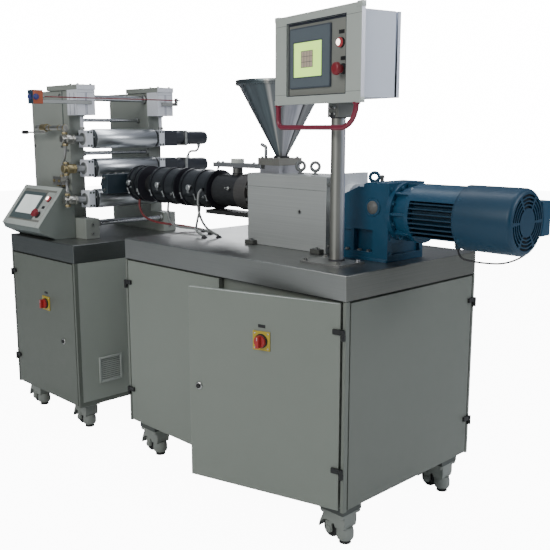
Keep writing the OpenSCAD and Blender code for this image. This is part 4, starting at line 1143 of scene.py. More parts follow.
def base_part(point):
    """The upper plate, the lower plate or the long flat bar."""
    x, y, z = in_line(point)
    if x < -679:
        return 2
    return 0 if z > 1176 else 1


dressed("hopper_base", [base_grey, base_light, bar_light], pick=base_part)
bolted("hopper_base_bolts", [(spot(x, y, 1203), (0, 0, 1)) for x in (-672, -586) for y in (-48, 48)]
       + [(spot(-980, 0, 1177), (0, 0, 1)), (spot(-952, 0, 1177), (0, 0, 1)),
          (spot(-770, 0, 1177), (0, 0, 1))], 5, 5, sides=16)
slide_gap = bmesh.new()
add_box(slide_gap, (-678.6, -40, 1169), (-640, 40, 1176.6))
add_box(slide_gap, (-669, -58.4, 1163), (-652, -55.6, 1190))
add_box(slide_gap, (-684.4, -40, 1181), (-683.6, 40, 1186))
piece_of("slide_gate", slide_gap, [dark_block], edge=0.6)
lever = bmesh.new()
elbow = spot(-651, -50, 1243)
add_rod(lever, spot(-651, -50, 1203.5), elbow, 5.8, 20)
add_rod(lever, elbow, spot(-675, -50, 1252), 6.4, 20)
piece_of("slide_lever", lever, [bar_light], edge=1)

# The drain tube. A bright tube welded on the barrel's neck, with a white plastic cap.
cap_white = painted("cap_white", (0.60, 0.62, 0.56), 0.1, 200.0, 0.4, 0.05)
tube_steel = steel("tube_steel", (0.22, 0.22, 0.21), 0.28, (160.0, 160.0, 4.0), 0.35)
dressed("drain_tube", [tube_steel, cap_white], 1.4,
        lambda point: 1 if point.z > 1.1765 else 0)
tube_bits = bmesh.new()
turned(tube_bits, [(20.2, 0), (22.2, 0), (22.6, 2), (22.2, 4), (20.2, 4)], spot(-864, 0, 1134),
       (0, 0, 1))
add_rod(tube_bits, spot(-864, -20.2, 1138), spot(-864, -20.2, 1170), 1.2, 8)
piece_of("drain_tube_seam", tube_bits, [weld_grey])

# The panel's post. A ground stainless tube on a bolted foot plate, with a pin that
# carries the control panel's clamp.
post_steel = steel("post_steel", (0.80, 0.80, 0.80), 0.22, (260.0, 260.0, 3.0), 0.25, 0.06, 0.5)
plate_steel = steel("plate_steel", (0.50, 0.50, 0.48), 0.22, (3.0, 260.0, 3.0), 0.35, 0.1)
post_centre = spot(-188, -178, table_z)
panel_turn = math.radians(-11.8)
# Painted reflections round the post, with a white painted highlight down one side.
painted_reflections(post_steel, post_centre, [(0.0, (0.22, 0.22, 0.20)), (0.12, (0.30, 0.30, 0.27)),
                                 (0.3, (0.62, 0.62, 0.56)), (0.42, (0.36, 0.36, 0.33)),
                                 (0.62, (0.34, 0.34, 0.32)), (0.76, (0.52, 0.54, 0.60)),
                                 (0.86, (1.0, 1.0, 1.0)), (1.0, (0.72, 0.74, 0.95))])


def is_plate(point):
    """Tells the foot plate from the post."""
    return 1 if point.z < 0.8925 else 0


dressed("panel_post", [post_steel, plate_steel], 0.8, is_plate)
post_ring = bmesh.new()
turned(post_ring, [(23.2, 6), (26.8, 6), (26.2, 7.5), (24.2, 9), (23.2, 11)], post_centre,
       (0, 0, 1), 64)
turned(post_ring, [(23.2, 454), (25.5, 454), (25.5, 470), (23.2, 470)], post_centre, (0, 0, 1), 64)
piece_of("post_weld", post_ring, [weld_grey], edge=0.4)
bolted("post_bolts", [(post_centre + Vector((x / 1000, y / 1000, 0.006)), (0, 0, 1))
                      for x in (-70, 70) for y in (-70, 26)], 7.8, 7.2, nickel, washer=1.5)

# The control panel. An aluminium frame of four extruded sides and corner caps round
# a set-back face, in front of a pale painted sheet case with a back plate.
frame_alloy = painted("frame_alloy", (0.56, 0.60, 0.55), 0.12, 900.0, 0.34, 0.06, 0.0003, 0.2)
# The frame's end faces: the same alloy made light and lavender, a painted highlight.
edge_highlight_alloy = painted("edge_highlight_alloy", (0.86, 0.86, 0.95), 0.1, 900.0, 0.28, 0.06, 0.0003, 0.2)
face_grey = painted("face_grey", (0.235, 0.24, 0.215), 0.14, 900.0, 0.42)
case_paint = painted("case_paint", (0.80, 0.85, 0.96), 0.05, 620.0, 0.4)
# Dark for gaps and seams, and for painted shadow in the panel's recess.
dark_gap_and_shadow = painted("dark_gap_and_shadow", (0.018, 0.022, 0.036), 0.2, 600.0, 0.5)
clamp_paint = painted("clamp_paint", (0.17, 0.175, 0.16), 0.2, 600.0, 0.42)


def on_panel(s, t, v):
    """A point of the panel: s from its left edge, t from the post's axis, v up."""
    out = Matrix.Rotation(panel_turn, 3, "Z") @ Vector((s - 250, t, 0))
    return post_centre + Vector((out.x, out.y, 498 + v)) / 1000


def panel_place(point):
    """The same three numbers for a point of the room."""
    out = Matrix.Rotation(-panel_turn, 3, "Z") @ (point - post_centre)
    return out.x * 1000 + 250, out.y * 1000, out.z * 1000 - 498


panel_out = Matrix.Rotation(panel_turn, 3, "Z") @ Vector((0, -1, 0))


def frame_part(point):
    """The frame, its end faces with a painted highlight or the face that is set back in it."""
    s, t, v = panel_place(point)
    if s > 452.6 or s < 0.4:
        return 1
    if -67.2 < t < -61.5 and 70 < s < 381 and 27 < v < 250:
        return 2
    return 0


def case_part(point):
    """The case, the gap round its back plate or the clamp under it."""
    s, t, v = panel_place(point)
    if v < 13.8:
        return 2
    return 1 if 61 < t < 68 else 0


dressed("panel_front", [frame_alloy, edge_highlight_alloy, face_grey], 1.1, frame_part,
        body="control_panel")
dressed("panel_case", [case_paint, dark_gap_and_shadow, clamp_paint], 1.6, case_part,
        body="control_panel")
trim = bmesh.new()
for s0, s1 in ((-1.2, 22), (431, 454.2)):
    for v0, v1 in ((-1.5, 14), (262, 278.4)):
        add_box(trim, (s0, -75.9, v0), (s1, -60.4, v1), 0, on_panel)
for v in (31.5, 246.5):
    for s0, s1 in ((0.2, 69.8), (381.2, 452.8)):
        add_box(trim, (s0, -75.25, v - 0.4), (s1, -74.8, v + 0.4), 1, on_panel)
for s0, s1, v0, v1 in ((68.2, 70.6, 25, 252), (380.4, 382.2, 25, 252), (69, 382, 249.4, 252.4),
                       (69, 382, 25.2, 27.6)):
    add_box(trim, (s0, -75.5, v0), (s1, -74.6, v1), 1, on_panel)
# Painted shadow strips on the set-back face, under the frame's top edge and beside its left edge.
for s0, s1, v0, v1 in ((70, 73.5, 27, 250), (73, 381, 243, 250)):
    add_box(trim, (s0, -68.6, v0), (s1, -66.9, v1), 1, on_panel)
add_box(trim, (12.5, -59.2, 12.2), (440.5, -56, 13.8), 0, on_panel)
piece_of("panel_trim", trim, [frame_alloy, dark_gap_and_shadow], edge=0.7, body="control_panel")
clamp_bits = bmesh.new()
for v in (-12, -30):
    for s in (250 - 12, 250 + 12):
        add_rod(clamp_bits, on_panel(s, -22, v), on_panel(s, -27, v), 4.5, 16)
add_box(clamp_bits, (249.4, -22.6, -41), (250.6, -21.6, 0), 1, on_panel)
piece_of("clamp_screws", clamp_bits, [nickel, dark_gap_and_shadow], body="control_panel")

# The panel's controls. A touch screen in a dark bezel, a lit pilot lamp and a red
# stop button with its black collar, each under a blank tag.
bezel_blue = painted("bezel_blue", (0.070, 0.086, 0.108), 0.12, 900.0, 0.32)
bezel_light = painted("bezel_light", (0.125, 0.15, 0.17), 0.1, 900.0, 0.3)


def lit(name, low, high, strength, scale):
    """A glowing face whose two tones drift softly into each other."""
    material = new_material(name, low, 0.25)
    tree = material.node_tree
    tone = mixed(tree, noise_of(tree, where_is(tree), scale, 2.0), (*low, 1.0), (*high, 1.0))
    shaded(material, {"Emission Color": tone, "Base Color": (0.05, 0.05, 0.05, 1.0),
                      "Emission Strength": strength})
    return material


screen_green = lit("screen_green", (0.44, 0.78, 0.10), (0.56, 0.84, 0.20), 2.3, 14.0)
screen_pink = lit("screen_pink", (0.40, 0.36, 0.22), (0.52, 0.40, 0.34), 0.95, 160.0)
lamp_core = lit("lamp_core", (1.0, 0.74, 0.66), (1.0, 0.86, 0.80), 5.0, 40.0)
lamp_red = lit("lamp_red", (0.62, 0.03, 0.04), (0.72, 0.05, 0.06), 0.5, 60.0)
stop_red = painted("stop_red", (0.25, 0.020, 0.030), 0.15, 300.0, 0.32, 0.06)


def rounded_plate(shape, s0, s1, v0, v1, front, back, corner, index, place=on_panel):
    """A plate with round corners, standing from back to front."""
    outline = []
    for cs, cv, begin in ((s1 - corner, v0 + corner, -90), (s1 - corner, v1 - corner, 0),
                          (s0 + corner, v1 - corner, 90), (s0 + corner, v0 + corner, 180)):
        for k in range(7):
            a = math.radians(begin + 15 * k)
            outline.append((cs + corner * math.cos(a), cv + corner * math.sin(a)))
    loops = [[shape.verts.new(place(s, t, v)) for s, v in outline] for t in (front, back)]
    bridged(shape, loops[::-1], index)


controls = bmesh.new()
for plate in ((84, 302, 49, 234, -73, -67, 4, 0), (88, 298, 53, 230, -73.5, -72.5, 3, 1),
              (106, 262, 80, 192, -73.9, -73.2, 2, 0), (110, 258, 84, 188, -74.2, -73.6, 1, 2),
              (150, 214, 112, 162, -74.5, -74.0, 0.5, 3)):
    rounded_plate(controls, *plate)
for k in range(5):
    add_box(controls, (150 + 16 * k - 0.7, -74.8, 112), (150 + 16 * k + 0.7, -74.4, 162), 8,
            on_panel)
for k in range(4):
    add_box(controls, (150, -74.8, 112 + 16.6 * k - 0.7), (214, -74.4, 112 + 16.6 * k + 0.7), 8,
            on_panel)
for s, v in ((350, 173), (360, 97)):
    rounded_plate(controls, s - 13, s + 13, v + 25, v + 36, -68, -66.9, 1, 4)
lamp_foot, stop_foot = on_panel(350, -67, 173), on_panel(360, -67, 97)
for foot, sides, index, profile in (
        (lamp_foot, 40, 4, [(15, 0), (15, 4), (13.5, 6), (13.5, 5.5)]),
        (lamp_foot, 40, 5, [(13.5, 4), (13.5, 9), (12, 12), (9.5, 13.5), (9.5, 12.8)]),
        (lamp_foot, 32, 6, [(9.7, 12.8), (8.5, 14.5), (6, 15.5), (0, 15.8)]),
        (stop_foot, 40, 4, [(16, 0), (16, 3), (14.5, 6), (12.5, 7), (12.5, 9)]),
        (stop_foot, 48, 7, [(11.8, 8), (11.8, 19), (16.5, 20.5), (18.8, 22.5), (19, 27), (18, 31),
                            (15, 33.8), (8.5, 34.8), (0, 35)])):
    turned(controls, profile, foot, panel_out, sides, index)
piece_of("panel_controls_made", controls,
         [bezel_blue, bezel_light, screen_green, screen_pink, black_plastic, lamp_red, lamp_core,
          stop_red, bezel_blue], ("panel_controls",), 0.3, body="control_panel",
         outwards=True)

# The grab handle. A bent tube in dark crimson powder coat, screwed up into the
# frame's lower edge at both ends.
crimson = painted("crimson", (0.24, 0.020, 0.046), 0.2, 500.0, 0.26, 0.12)
shaded(crimson, {"Coat Weight": 0.3, "Coat Roughness": 0.2})
handle = bmesh.new()
handle_line = [(8, 2), (8, -20), (8, -48)]
handle_line += [(32 - 24 * math.cos(a), -48 - 24 * math.sin(a))
                for a in (math.radians(9 * k) for k in range(1, 11))]
handle_line += [(100, -72), (200, -72), (300, -72)]
handle_line += [(353 + 72 * math.sin(a), 0 - 72 * math.cos(a))
                for a in (math.radians(9 * k) for k in range(0, 11))]
handle_line.append((425, 2))
rings = []
for i, (s, v) in enumerate(handle_line):
    before, after = handle_line[max(0, i - 1)], handle_line[min(len(handle_line) - 1, i + 1)]
    way = Vector((after[0] - before[0], after[1] - before[1])).normalized()
    across = Vector((-way.y, way.x))
    rings.append([handle.verts.new(on_panel(s + 8 * math.cos(a) * across.x, -67 + 8 * math.sin(a),
                                            v + 8 * math.cos(a) * across.y))
                  for a in (2 * math.pi * j / 20 for j in range(20))])
bridged(handle, rings)
for s in (8, 425):
    turned(handle, [(8.2, 0), (11.5, 0), (11.5, 4), (9.8, 5.5), (8.2, 6)], on_panel(s, -67, -0.2),
           (0, 0, -1), 32)
piece_of("grab_handle_made", handle, [crimson], ("grab_handle",),
         body="control_panel", outwards=True)

# The vent on the roll cabinet's inner side. A moulded grey grille of slanting
# louvres in a clipped frame, over a filter.
vent_grey = painted("vent_grey", (0.42, 0.45, 0.42), 0.15, 500.0, 0.42)
vent_low, vent_high = (v * 1000 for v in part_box("vent_grille"))
vent_frame = bmesh.new()


def on_vent(x, y, z):
    """A point of the vent in millimetres, x out from its own face."""
    return Vector((vent_high.x + x, y, z)) / 1000


y0, y1, z0, z1 = vent_low.y, vent_high.y, vent_low.z, vent_high.z
x0 = vent_low.x - vent_high.x
for low, high in (((x0, y0, z0), (0, y0 + 9, z1)), ((x0, y1 - 9, z0), (0, y1, z1)),
                  ((x0, y0 + 9, z0), (0, y1 - 9, z0 + 9)), ((x0, y0 + 9, z1 - 9), (0, y1 - 9, z1))):
    add_box(vent_frame, low, high, 0, on_vent)
add_box(vent_frame, (x0, y0 + 9, z0 + 9), (x0 + 1.5, y1 - 9, z1 - 9), 1, on_vent)
piece_of("vent_frame", vent_frame, [vent_grey, frame_paint], ("vent_grille",), 0.9)

# One tree lays slats in a row: it copies a slat's mesh along a line, at a tilt.
slat_tree, asked, given = new_group(
    "slat_row", "GeometryNodeTree",
    (("Place", "Geometry"), ("Count", "Int", 10), ("First", "Vector"), ("Step", "Vector"),
     ("Size", "Vector"), ("Tilt", "Vector"), ("Finish", "Material")), (("Slats", "Geometry"),))
row = node_in(slat_tree, "GeometryNodeMeshLine",
              {"Count": asked["Count"], "Start Location": asked["First"], "Offset": asked["Step"]})
slat = node_in(slat_tree, "GeometryNodeMeshCube", {"Size": asked["Size"]})
tilt = node_in(slat_tree, "FunctionNodeEulerToRotation", {0: asked["Tilt"]})
laid = node_in(slat_tree, "GeometryNodeInstanceOnPoints",
               {"Points": row, "Instance": slat, "Rotation": tilt})
real = node_in(slat_tree, "GeometryNodeRealizeInstances", {0: laid})
set_input(slat_tree, given["Slats"],
          node_in(slat_tree, "GeometryNodeSetMaterial",
                  {"Geometry": real, "Material": asked["Finish"]}))
vent_gap = (z1 - z0 - 18) / 11
louvres = {"Count": 11, "First": (vent_high.x / 1000 - 0.0045, (y0 + y1) / 2000,
                                  (z0 + 9 + vent_gap / 2) / 1000),
           "Step": (0.0, 0.0, vent_gap / 1000), "Tilt": (0.0, math.radians(-32), 0.0),
           "Size": (0.0012, (y1 - y0 - 18) / 1000, vent_gap / 1000 * 0.92), "Finish": vent_grey}
grown("vent_louvres", bpy.data.meshes.new("vent_louvres_seed"), slat_tree, louvres, "line")

# The roll stand's side frames. Two thick cut plates in the cabinet's grey, stepped
# forward at the top, with cover plates screwed over the bearings' slides.
stand_paint = painted("stand_paint", (0.29, 0.31, 0.28), 0.14, 480.0, 0.4)
# Dark for screws and seams, and for a strip of painted shade down the frames' step.
stand_dark_and_shade = painted("stand_dark_and_shade", (0.10, 0.115, 0.108), 0.2, 480.0, 0.5)
pale_metal = steel("pale_metal", (0.92, 0.94, 1.0), 0.4, (160.0, 160.0, 160.0), 0.1, 0.05, 0.1)
chrome_bar = steel("chrome_bar", (0.70, 0.71, 0.73), 0.08, (400.0, 4.0, 400.0), 0.15, 0.02)
frame_y = 176.0
dressed("side_frames", [stand_paint], 2.2, segments=3)
plates = bmesh.new()
for side in (-1, 1):
    outer = side * 246
    for x0, x1, z0, z1 in ((-2026, -1752, 832, 1470), (-1744, -1702, 918, 1322)):
        add_box(plates, (x0, outer, z0), (x1, outer + side * 0.9, z1))
    # A dark strip down the frames' step is painted shade; the thin lines are the cover plates'
    # seams.
    for x0, x1, z0, z1 in ((-1752.5, -1743.5, 832, 1470), (-1744, -1702, 1100, 1101.2),
                           (-1744, -1702, 1228, 1229.2)):
        add_box(plates, (x0, outer, z0), (x1, outer + side * 0.5, z1), 1)
piece_of("stand_plates", plates, [stand_paint, stand_dark_and_shade], edge=0.6)
bolted("stand_bolts",
       [(spot(x, side * 247, z), (0, side, 0)) for side in (-1, 1) for x in (-2012, -1766)
        for z in (850, 1040, 1230, 1454)]
       + [(spot(x, side * 247, z), (0, side, 0)) for side in (-1, 1) for x in (-1732, -1713)
          for z in (935, 1085, 1115, 1213, 1244, 1310)]
       + [(spot(-1595, side * 211, z), (1, 0, 0)) for side in (-1, 1) for z in (850, 890)],
       5.5, 5, sides=16)

# The tie bars. Chromed round bars between the frames, each with a locknut collar.
dressed("tie_bars", [chrome_bar], 0.4)
collars = bmesh.new()
for r, x, z in ((14, -1724, 1444), (8, -1780, 1346), (8, -1760, 882), (10, -1615, 892),
                (9, -1712, 1200)):
    for side in (-1, 1):
        turned(collars, [(r, 0), (r * 1.45, 0), (r * 1.5, 1), (r * 1.5, 10), (r * 1.4, 12),
                         (r, 12)], spot(x, side * frame_y, z), (0, -side, 0), 32)
piece_of("tie_bar_collars", collars, [zinc])

# The bearing blocks. Pale anodised housings beside the frames, each with a round
# bearing cover and cap screws in its faces.
block_dark = painted("block_dark", (0.055, 0.065, 0.065), 0.2, 400.0, 0.45)


def block_part(point):
    """Tells the housings' pale fronts from their dark backs."""
    x, y, z = in_line(point)
    return 0 if x > -1683 else 1


dressed("bearing_blocks", [pale_metal, block_dark], 1.6, block_part)
covers = bmesh.new()
for z in roll_heights.values():
    for side in (-1, 1):
        for face_y, way in ((frame_y, -side), (frame_y + 35, side)):
            turned(covers, [(15.2, 0), (15.2, 4), (24, 4), (26.5, 3), (26.5, 0)],
                   spot(roll_x, side * face_y, z), (0, way, 0))
    for side in (-1, 1):
        add_box(covers, (-1618.4, side * (frame_y - 0.4), z - 38.2),
                (-1617.4, side * (frame_y + 2), z + 38.2), 1)
piece_of("bearing_covers", covers, [zinc, block_dark], outwards=True)
bolted("bearing_screws", [(spot(-1618, side * (frame_y + dy), z + dz), (1, 0, 0))
                          for side in (-1, 1) for z in roll_heights.values()
                          for dy, dz in ((10, 29), (25, 29), (10, -29), (25, -29))], 3.4, 1.4,
       stand_dark_and_shade, sides=16)

# The chill rolls. Hollow steel rolls, hard-chromed and mirror-ground, with dark
# drilled end flanges on their water journals.
mirror_chrome = steel("mirror_chrome", (0.80, 0.82, 0.84), 0.24, (3.0, 3.0, 60.0), 0.05, 0.002)
flange_dark = steel("flange_dark", (0.10, 0.11, 0.115), 0.25, (200.0, 200.0, 200.0), 0.3)
journal_steel = steel("journal_steel", (0.40, 0.41, 0.42), 0.25, (4.0, 300.0, 4.0), 0.3)
for name, height in roll_heights.items():
    roll = bmesh.new()
    profile = [(0.0, -280), (13, -280), (15, -278), (15, -172), (36, -172), (39, -171.2),
               (40, -170), (40, -162), (42.2, -160), (43, -159), (43, 159), (42.2, 160), (40, 162),
               (40, 170), (39, 171.2), (36, 172), (15, 172), (15, 268), (13, 270), (0.0, 270)]
    faces = turned(roll, profile, spot(roll_x, 0, height), (0, 1, 0), 96)
    for face in faces:
        y = (face.calc_center_median() - line_zero).y * 1000
        r = max(math.hypot((v.co - line_zero).x * 1000 - roll_x, v.co.z * 1000 - height)
                for v in face.verts)
        face.material_index = 0 if abs(y) < 159.6 else (2 if r < 15.5 else 1)
    piece_of(name + "_made", roll, [mirror_chrome, flange_dark, journal_steel], (name,),
             body=name)
    bolted(name + "_screws",
           [(spot(roll_x + 31 * math.cos(a), side * 172, height + 31 * math.sin(a)), (0, side, 0))
            for side in (-1, 1) for a in evenly(6, 15)],
           3.4, 2.8, cover_bright, body=name, sides=16, washer=1.2)

# The servo drives of the two upper rolls. Black anodised motors on dark gear
# heads, each held by a pale clamp bracket, with a cable plug on its underside.
servo_black = painted("servo_black", (0.026, 0.030, 0.040), 0.25)
bracket_pale = steel("bracket_pale", (0.46, 0.47, 0.46), 0.32, (160.0, 160.0, 160.0), 0.2)
servos = bmesh.new()
servo_axes = (roll_heights["middle_roll"], roll_heights["upper_roll"])
for z in servo_axes:
    add_box(servos, (roll_x - 36, 211, z - 36), (roll_x + 36, 280, z + 36))
    turned(servos, [(0, 0), (31, 0), (31, 4), (29.5, 5.5), (29.5, 48), (31, 49.5), (31, 190),
                    (29.5, 193.5), (23.5, 194), (0, 194)], spot(roll_x, 280, z), (0, 1, 0))
    rounded_plate(servos, roll_x - 34, roll_x + 34, z - 36, z + 36, 330, 344, 5, 1, spot)
    for dx in (-26, 26):
        for dz in (-28, 28):
            turned(servos, [(0, 1), (3, 1), (4.2, 0), (4.2, -1)], spot(roll_x + dx, 344, z + dz),
                   (0, 1, 0), 16, 2)
    for a in evenly(6, 30):
        foot = spot(roll_x + 31 * math.cos(a), 348, z + 31 * math.sin(a))
        tip = spot(roll_x + 31 * math.cos(a), 462, z + 31 * math.sin(a))
        add_rod(servos, foot, tip, 1.1, 8)
for y, z, way in ((440, servo_axes[1] - 26, -1), (372, servo_axes[0] + 26, 1)):
    turned(servos, [(0, -2), (8.5, -2), (8.5, 12), (7.5, 14), (5.5, 20), (0, 20)],
           spot(roll_x, y, z), (0, 0, way), 24, 3)
piece_of("servo_motors_made", servos, [servo_black, bracket_pale, stand_dark_and_shade, cover_bright],
         ("servo_motors",), 0.7, outwards=True)
bolted("servo_screws", [(spot(roll_x + 34, 337, z), (1, 0, 0)) for z in servo_axes]
       + [(spot(roll_x + dx, 474, z + dz), (0, 1, 0)) for z in servo_axes for dx in (-17, 17)
          for dz in (-17, 17)], 3.6, 1.8, sides=16, washer=1.3)

# The rotary unions. Brass heads under nickel plate, that bring the cooling water
# into the turning journals, with brass hexagons on their nipples.
brass = steel("brass", (0.42, 0.35, 0.20), 0.2, (160.0, 160.0, 160.0), 0.3, 0.1)
nickel_plate = steel("nickel_plate", (0.52, 0.51, 0.47), 0.13, (160.0, 160.0, 160.0), 0.25, 0.05)
unions = bmesh.new()
for name, z in roll_heights.items():
    body = 0 if name == "middle_roll" else 1
    turned(unions, [(15.3, 0), (19.5, 0), (20.8, 1.5), (20.8, 10), (17.5, 12), (17.5, 14.5),
                    (20.8, 16.5), (21, 40), (19.5, 42.5), (15, 43.5), (15, 50), (17.5, 51),
                    (17.5, 60), (15.5, 62), (0, 62)], spot(roll_x, -254, z), (0, -1, 0), 48, body)
    for way in (-1, 1):
        turned(unions, [(0, 15), (8.8, 15), (8.8, 34), (7.4, 34)], spot(roll_x, fitting_y, z),
               (0, 0, way), 32, 1)
        turned(unions, [(8.8, 19.5), (11.8, 19.5), (12.5, 20.5), (12.5, 28.5), (11.8, 29.5),
                        (8.8, 29.5)], spot(roll_x, fitting_y, z), (0, 0, way), 6)
piece_of("rotary_unions_made", unions, [brass, nickel_plate], ("rotary_unions",), 0.5,
         outwards=True)

# The water fittings. A drilled manifold block, a shut-off valve with a thin black
# lever over the upper union, and its pipe with a brass joint.


def fitting_part(point):
    """The black lever, the brass joint or the plated rest."""
    if in_line(point).x < -1982:
        return 2
    return 1 if 1300 < point.z * 1000 < 1330 and abs(in_line(point).x + 1820) < 21 else 0


dressed("water_fittings", [nickel_plate, brass, black_plastic], 0.6, fitting_part)
valve = bmesh.new()
over = roll_heights["upper_roll"] + 48
for x0, x1, r, index in ((-1672, -1664, 15.2, 0), (-1648, -1640, 15.2, 1), (-1694, -1688, 13.2, 1),
                         (-1772, -1764, 13.6, 1), (-1796, -1790, 12.8, 0), (-1866, -1858, 13.6, 0)):
    add_rod(valve, spot(x0, fitting_y, over), spot(x1, fitting_y, over), r, 6, index)
for dx in (12, 56):
    turned(valve, [(0, 0), (7.5, 0), (7.5, 3), (6, 4), (0, 4)], spot(-1790 + dx, -288, 1080),
           (0, -1, 0), 6, 1)
    turned(valve, [(0, 0), (8.8, 0), (9.5, 1), (9.5, 7), (8.5, 8), (0, 8)],
           spot(-1790 + dx, -267, 1062), (0, 0, -1), 6, 1)
turned(valve, [(0, 0), (9.5, 0), (10.2, 1), (10.2, 8), (9.2, 9), (0, 9)], spot(-1736, -271, 1098),
       (0, 0, 1), 6, 1)
piece_of("valve_joints", valve, [nickel_plate, brass], edge=0.5, outwards=True)

# The air cylinders. Short-stroke square cylinders in extruded alloy that press the
# upper roll down, hung from thick plates that reach over the frames' tops.
dressed("air_cylinders", [pale_metal, stand_paint], 1.6,
        lambda point: 1 if in_line(point).x < -1693 else 0)
groove = painted("groove", (0.22, 0.23, 0.30), 0.2, 400.0, 0.5)
grooves = bmesh.new()
for side in (-1, 1):
    for y in (207, 213):
        add_box(grooves, (-1607.9, side * y, 1367), (-1607.1, side * (y + 2.2), 1461))
    add_box(grooves, (-1607.9, side * 167.4, 1461), (-1607.2, side * 254.6, 1462))
    for x in (-1668, -1632):
        add_box(grooves, (x - 1.2, side * 255, 1368), (x + 1.2, side * 255.5, 1461))
    turned(grooves, [(0, 0), (14, 0), (14, 6), (0, 6)], spot(-1650, side * 211, 1366.2), (0, 0, -1),
           32, 1)
    turned(grooves, [(8.2, 0), (12.5, 0), (12.5, 11), (8.2, 11)], spot(-1650, side * 211, 1304),
           (0, 0, 1), 6, 1)
piece_of("cylinder_grooves", grooves, [groove, zinc], outwards=True)
bolted("cylinder_screws", [(spot(x, side * y, 1496), (0, 0, 1)) for side in (-1, 1)
                           for x in (-1680, -1620) for y in (180, 242)], 5, 5,
       sides=16)
ports = bmesh.new()
for z, index in ((1388, 1), (1452, 0)):
    for y in (211, -211):
        turned(ports, [(0, 0), (5.5, 0), (5.5, 7), (4.2, 8), (4.2, 13), (0, 13)],
               spot(-1692.5, y, z), (-1, 0, 0), 20, index)
port_blue = painted("port_blue", (0.04, 0.05, 0.22), 0.15, 400.0, 0.35)
piece_of("air_ports", ports, [port_blue, brass], outwards=True)

# The rope-pull switch. A switch box, half dark blue and half orange, on a bent steel
# bracket, with its red rope along the roll gap to an eye bolt.
switch_blue = painted("switch_blue", (0.018, 0.048, 0.085), 0.15, 400.0, 0.36)
switch_orange = painted("switch_orange", (0.45, 0.095, 0.035), 0.15, 400.0, 0.38)
rope_x, rope_z = -1578.0, 1438.0


def rope_part(point):
    """The switch's dark blue half, its orange half or the bracket."""
    x, y, z = in_line(point)
    if z > rope_z - 29 and y < -441 and x > -1603:
        return 1 if y > -465 else 0
    return 2


dressed("pull_rope_switch", [switch_blue, switch_orange, zinc], 1.6, rope_part)
knob = bmesh.new()
for dx, y, way in ((22, -474, (1, 0, 0)), (-1, -486, (0, -1, 0))):
    turned(knob, [(0, 0), (12, 0), (12, 4), (9, 5), (8.5, 9), (0, 9.5)],
           spot(rope_x + dx, y, rope_z - 2), way, 32)
turned(knob, [(2.6, 0), (8.5, 0), (8.5, 3), (6.5, 4), (5, 16), (2.6, 17)],
       spot(rope_x, -442, rope_z), (0, 1, 0), 24, 1)
turned(knob, [(0, 0), (6, 0), (6, 5), (3.5, 6), (3.5, 18), (0, 19)], spot(rope_x - 2, 256, rope_z),
       (0, 1, 0), 20, 1)
piece_of("rope_switch_knob", knob, [port_blue, zinc], edge=0.5, outwards=True)
rope_red = painted("rope_red", (0.20, 0.042, 0.045), 0.2, 900.0, 0.5)
dressed("pull_rope", [rope_red], 0)

# The roll unit's console. A folded sheet desk on the table in front of the stand,
# whose tilted top is a pale alloy frame round the controls' plate.
lean = math.atan2(166.0, 128.0)
console_zero = (-2018.0, -428.0, 884.0)
desk_paint = painted("desk_paint", (0.20, 0.225, 0.205), 0.14, 480.0, 0.4)
desk_shade = painted("desk_shade", (0.13, 0.155, 0.145), 0.14, 480.0, 0.42)


def on_desk(s, t, out):
    """A point of the desk's tilted top: s across, t up the slope, out from it."""
    return spot(console_zero[0] + s, console_zero[1] + t * math.cos(lean) - out * math.sin(lean),
                console_zero[2] + t * math.sin(lean) + out * math.cos(lean))


desk_out = (on_desk(0, 0, 1) - on_desk(0, 0, 0)).normalized()


def desk_part(point):
    """The tilted top, the desk's sides or the shade under it."""
    x, y, z = in_line(point)
    if x > -1681 or x < -2017:
        return 1
    t = (y - console_zero[1]) * math.cos(lean) + (z - console_zero[2]) * math.sin(lean)
    out = (z - console_zero[2]) * math.cos(lean) - (y - console_zero[1]) * math.sin(lean)
    return 0 if abs(out) < 1.5 else (2 if z < console_zero[2] else 1)


dressed("console_body", [frame_alloy, desk_paint, desk_shade], 2, desk_part,
        segments=3)
desk_frame = bmesh.new()
desk_len = math.hypot(128.0, 166.0)
for s0, s1, t0, t1 in ((0, 338, 0, 26), (0, 338, desk_len - 18, desk_len),
                       (0, 26, 26, desk_len - 18), (312, 338, 26, desk_len - 18)):
    add_box(desk_frame, (s0, t0, 0.2), (s1, t1, 3.2), 0, on_desk)
add_box(desk_frame, (26.4, 26.4, 0.1), (311.6, desk_len - 18.4, 0.9), 1, on_desk)
for s in (30, 308):
    add_box(desk_frame, (s - 0.4, 0.5, 3.0), (s + 0.4, 25.5, 3.4), 2, on_desk)
piece_of("desk_frame", desk_frame, [frame_alloy, face_grey, dark_gap_and_shadow], edge=0.8)

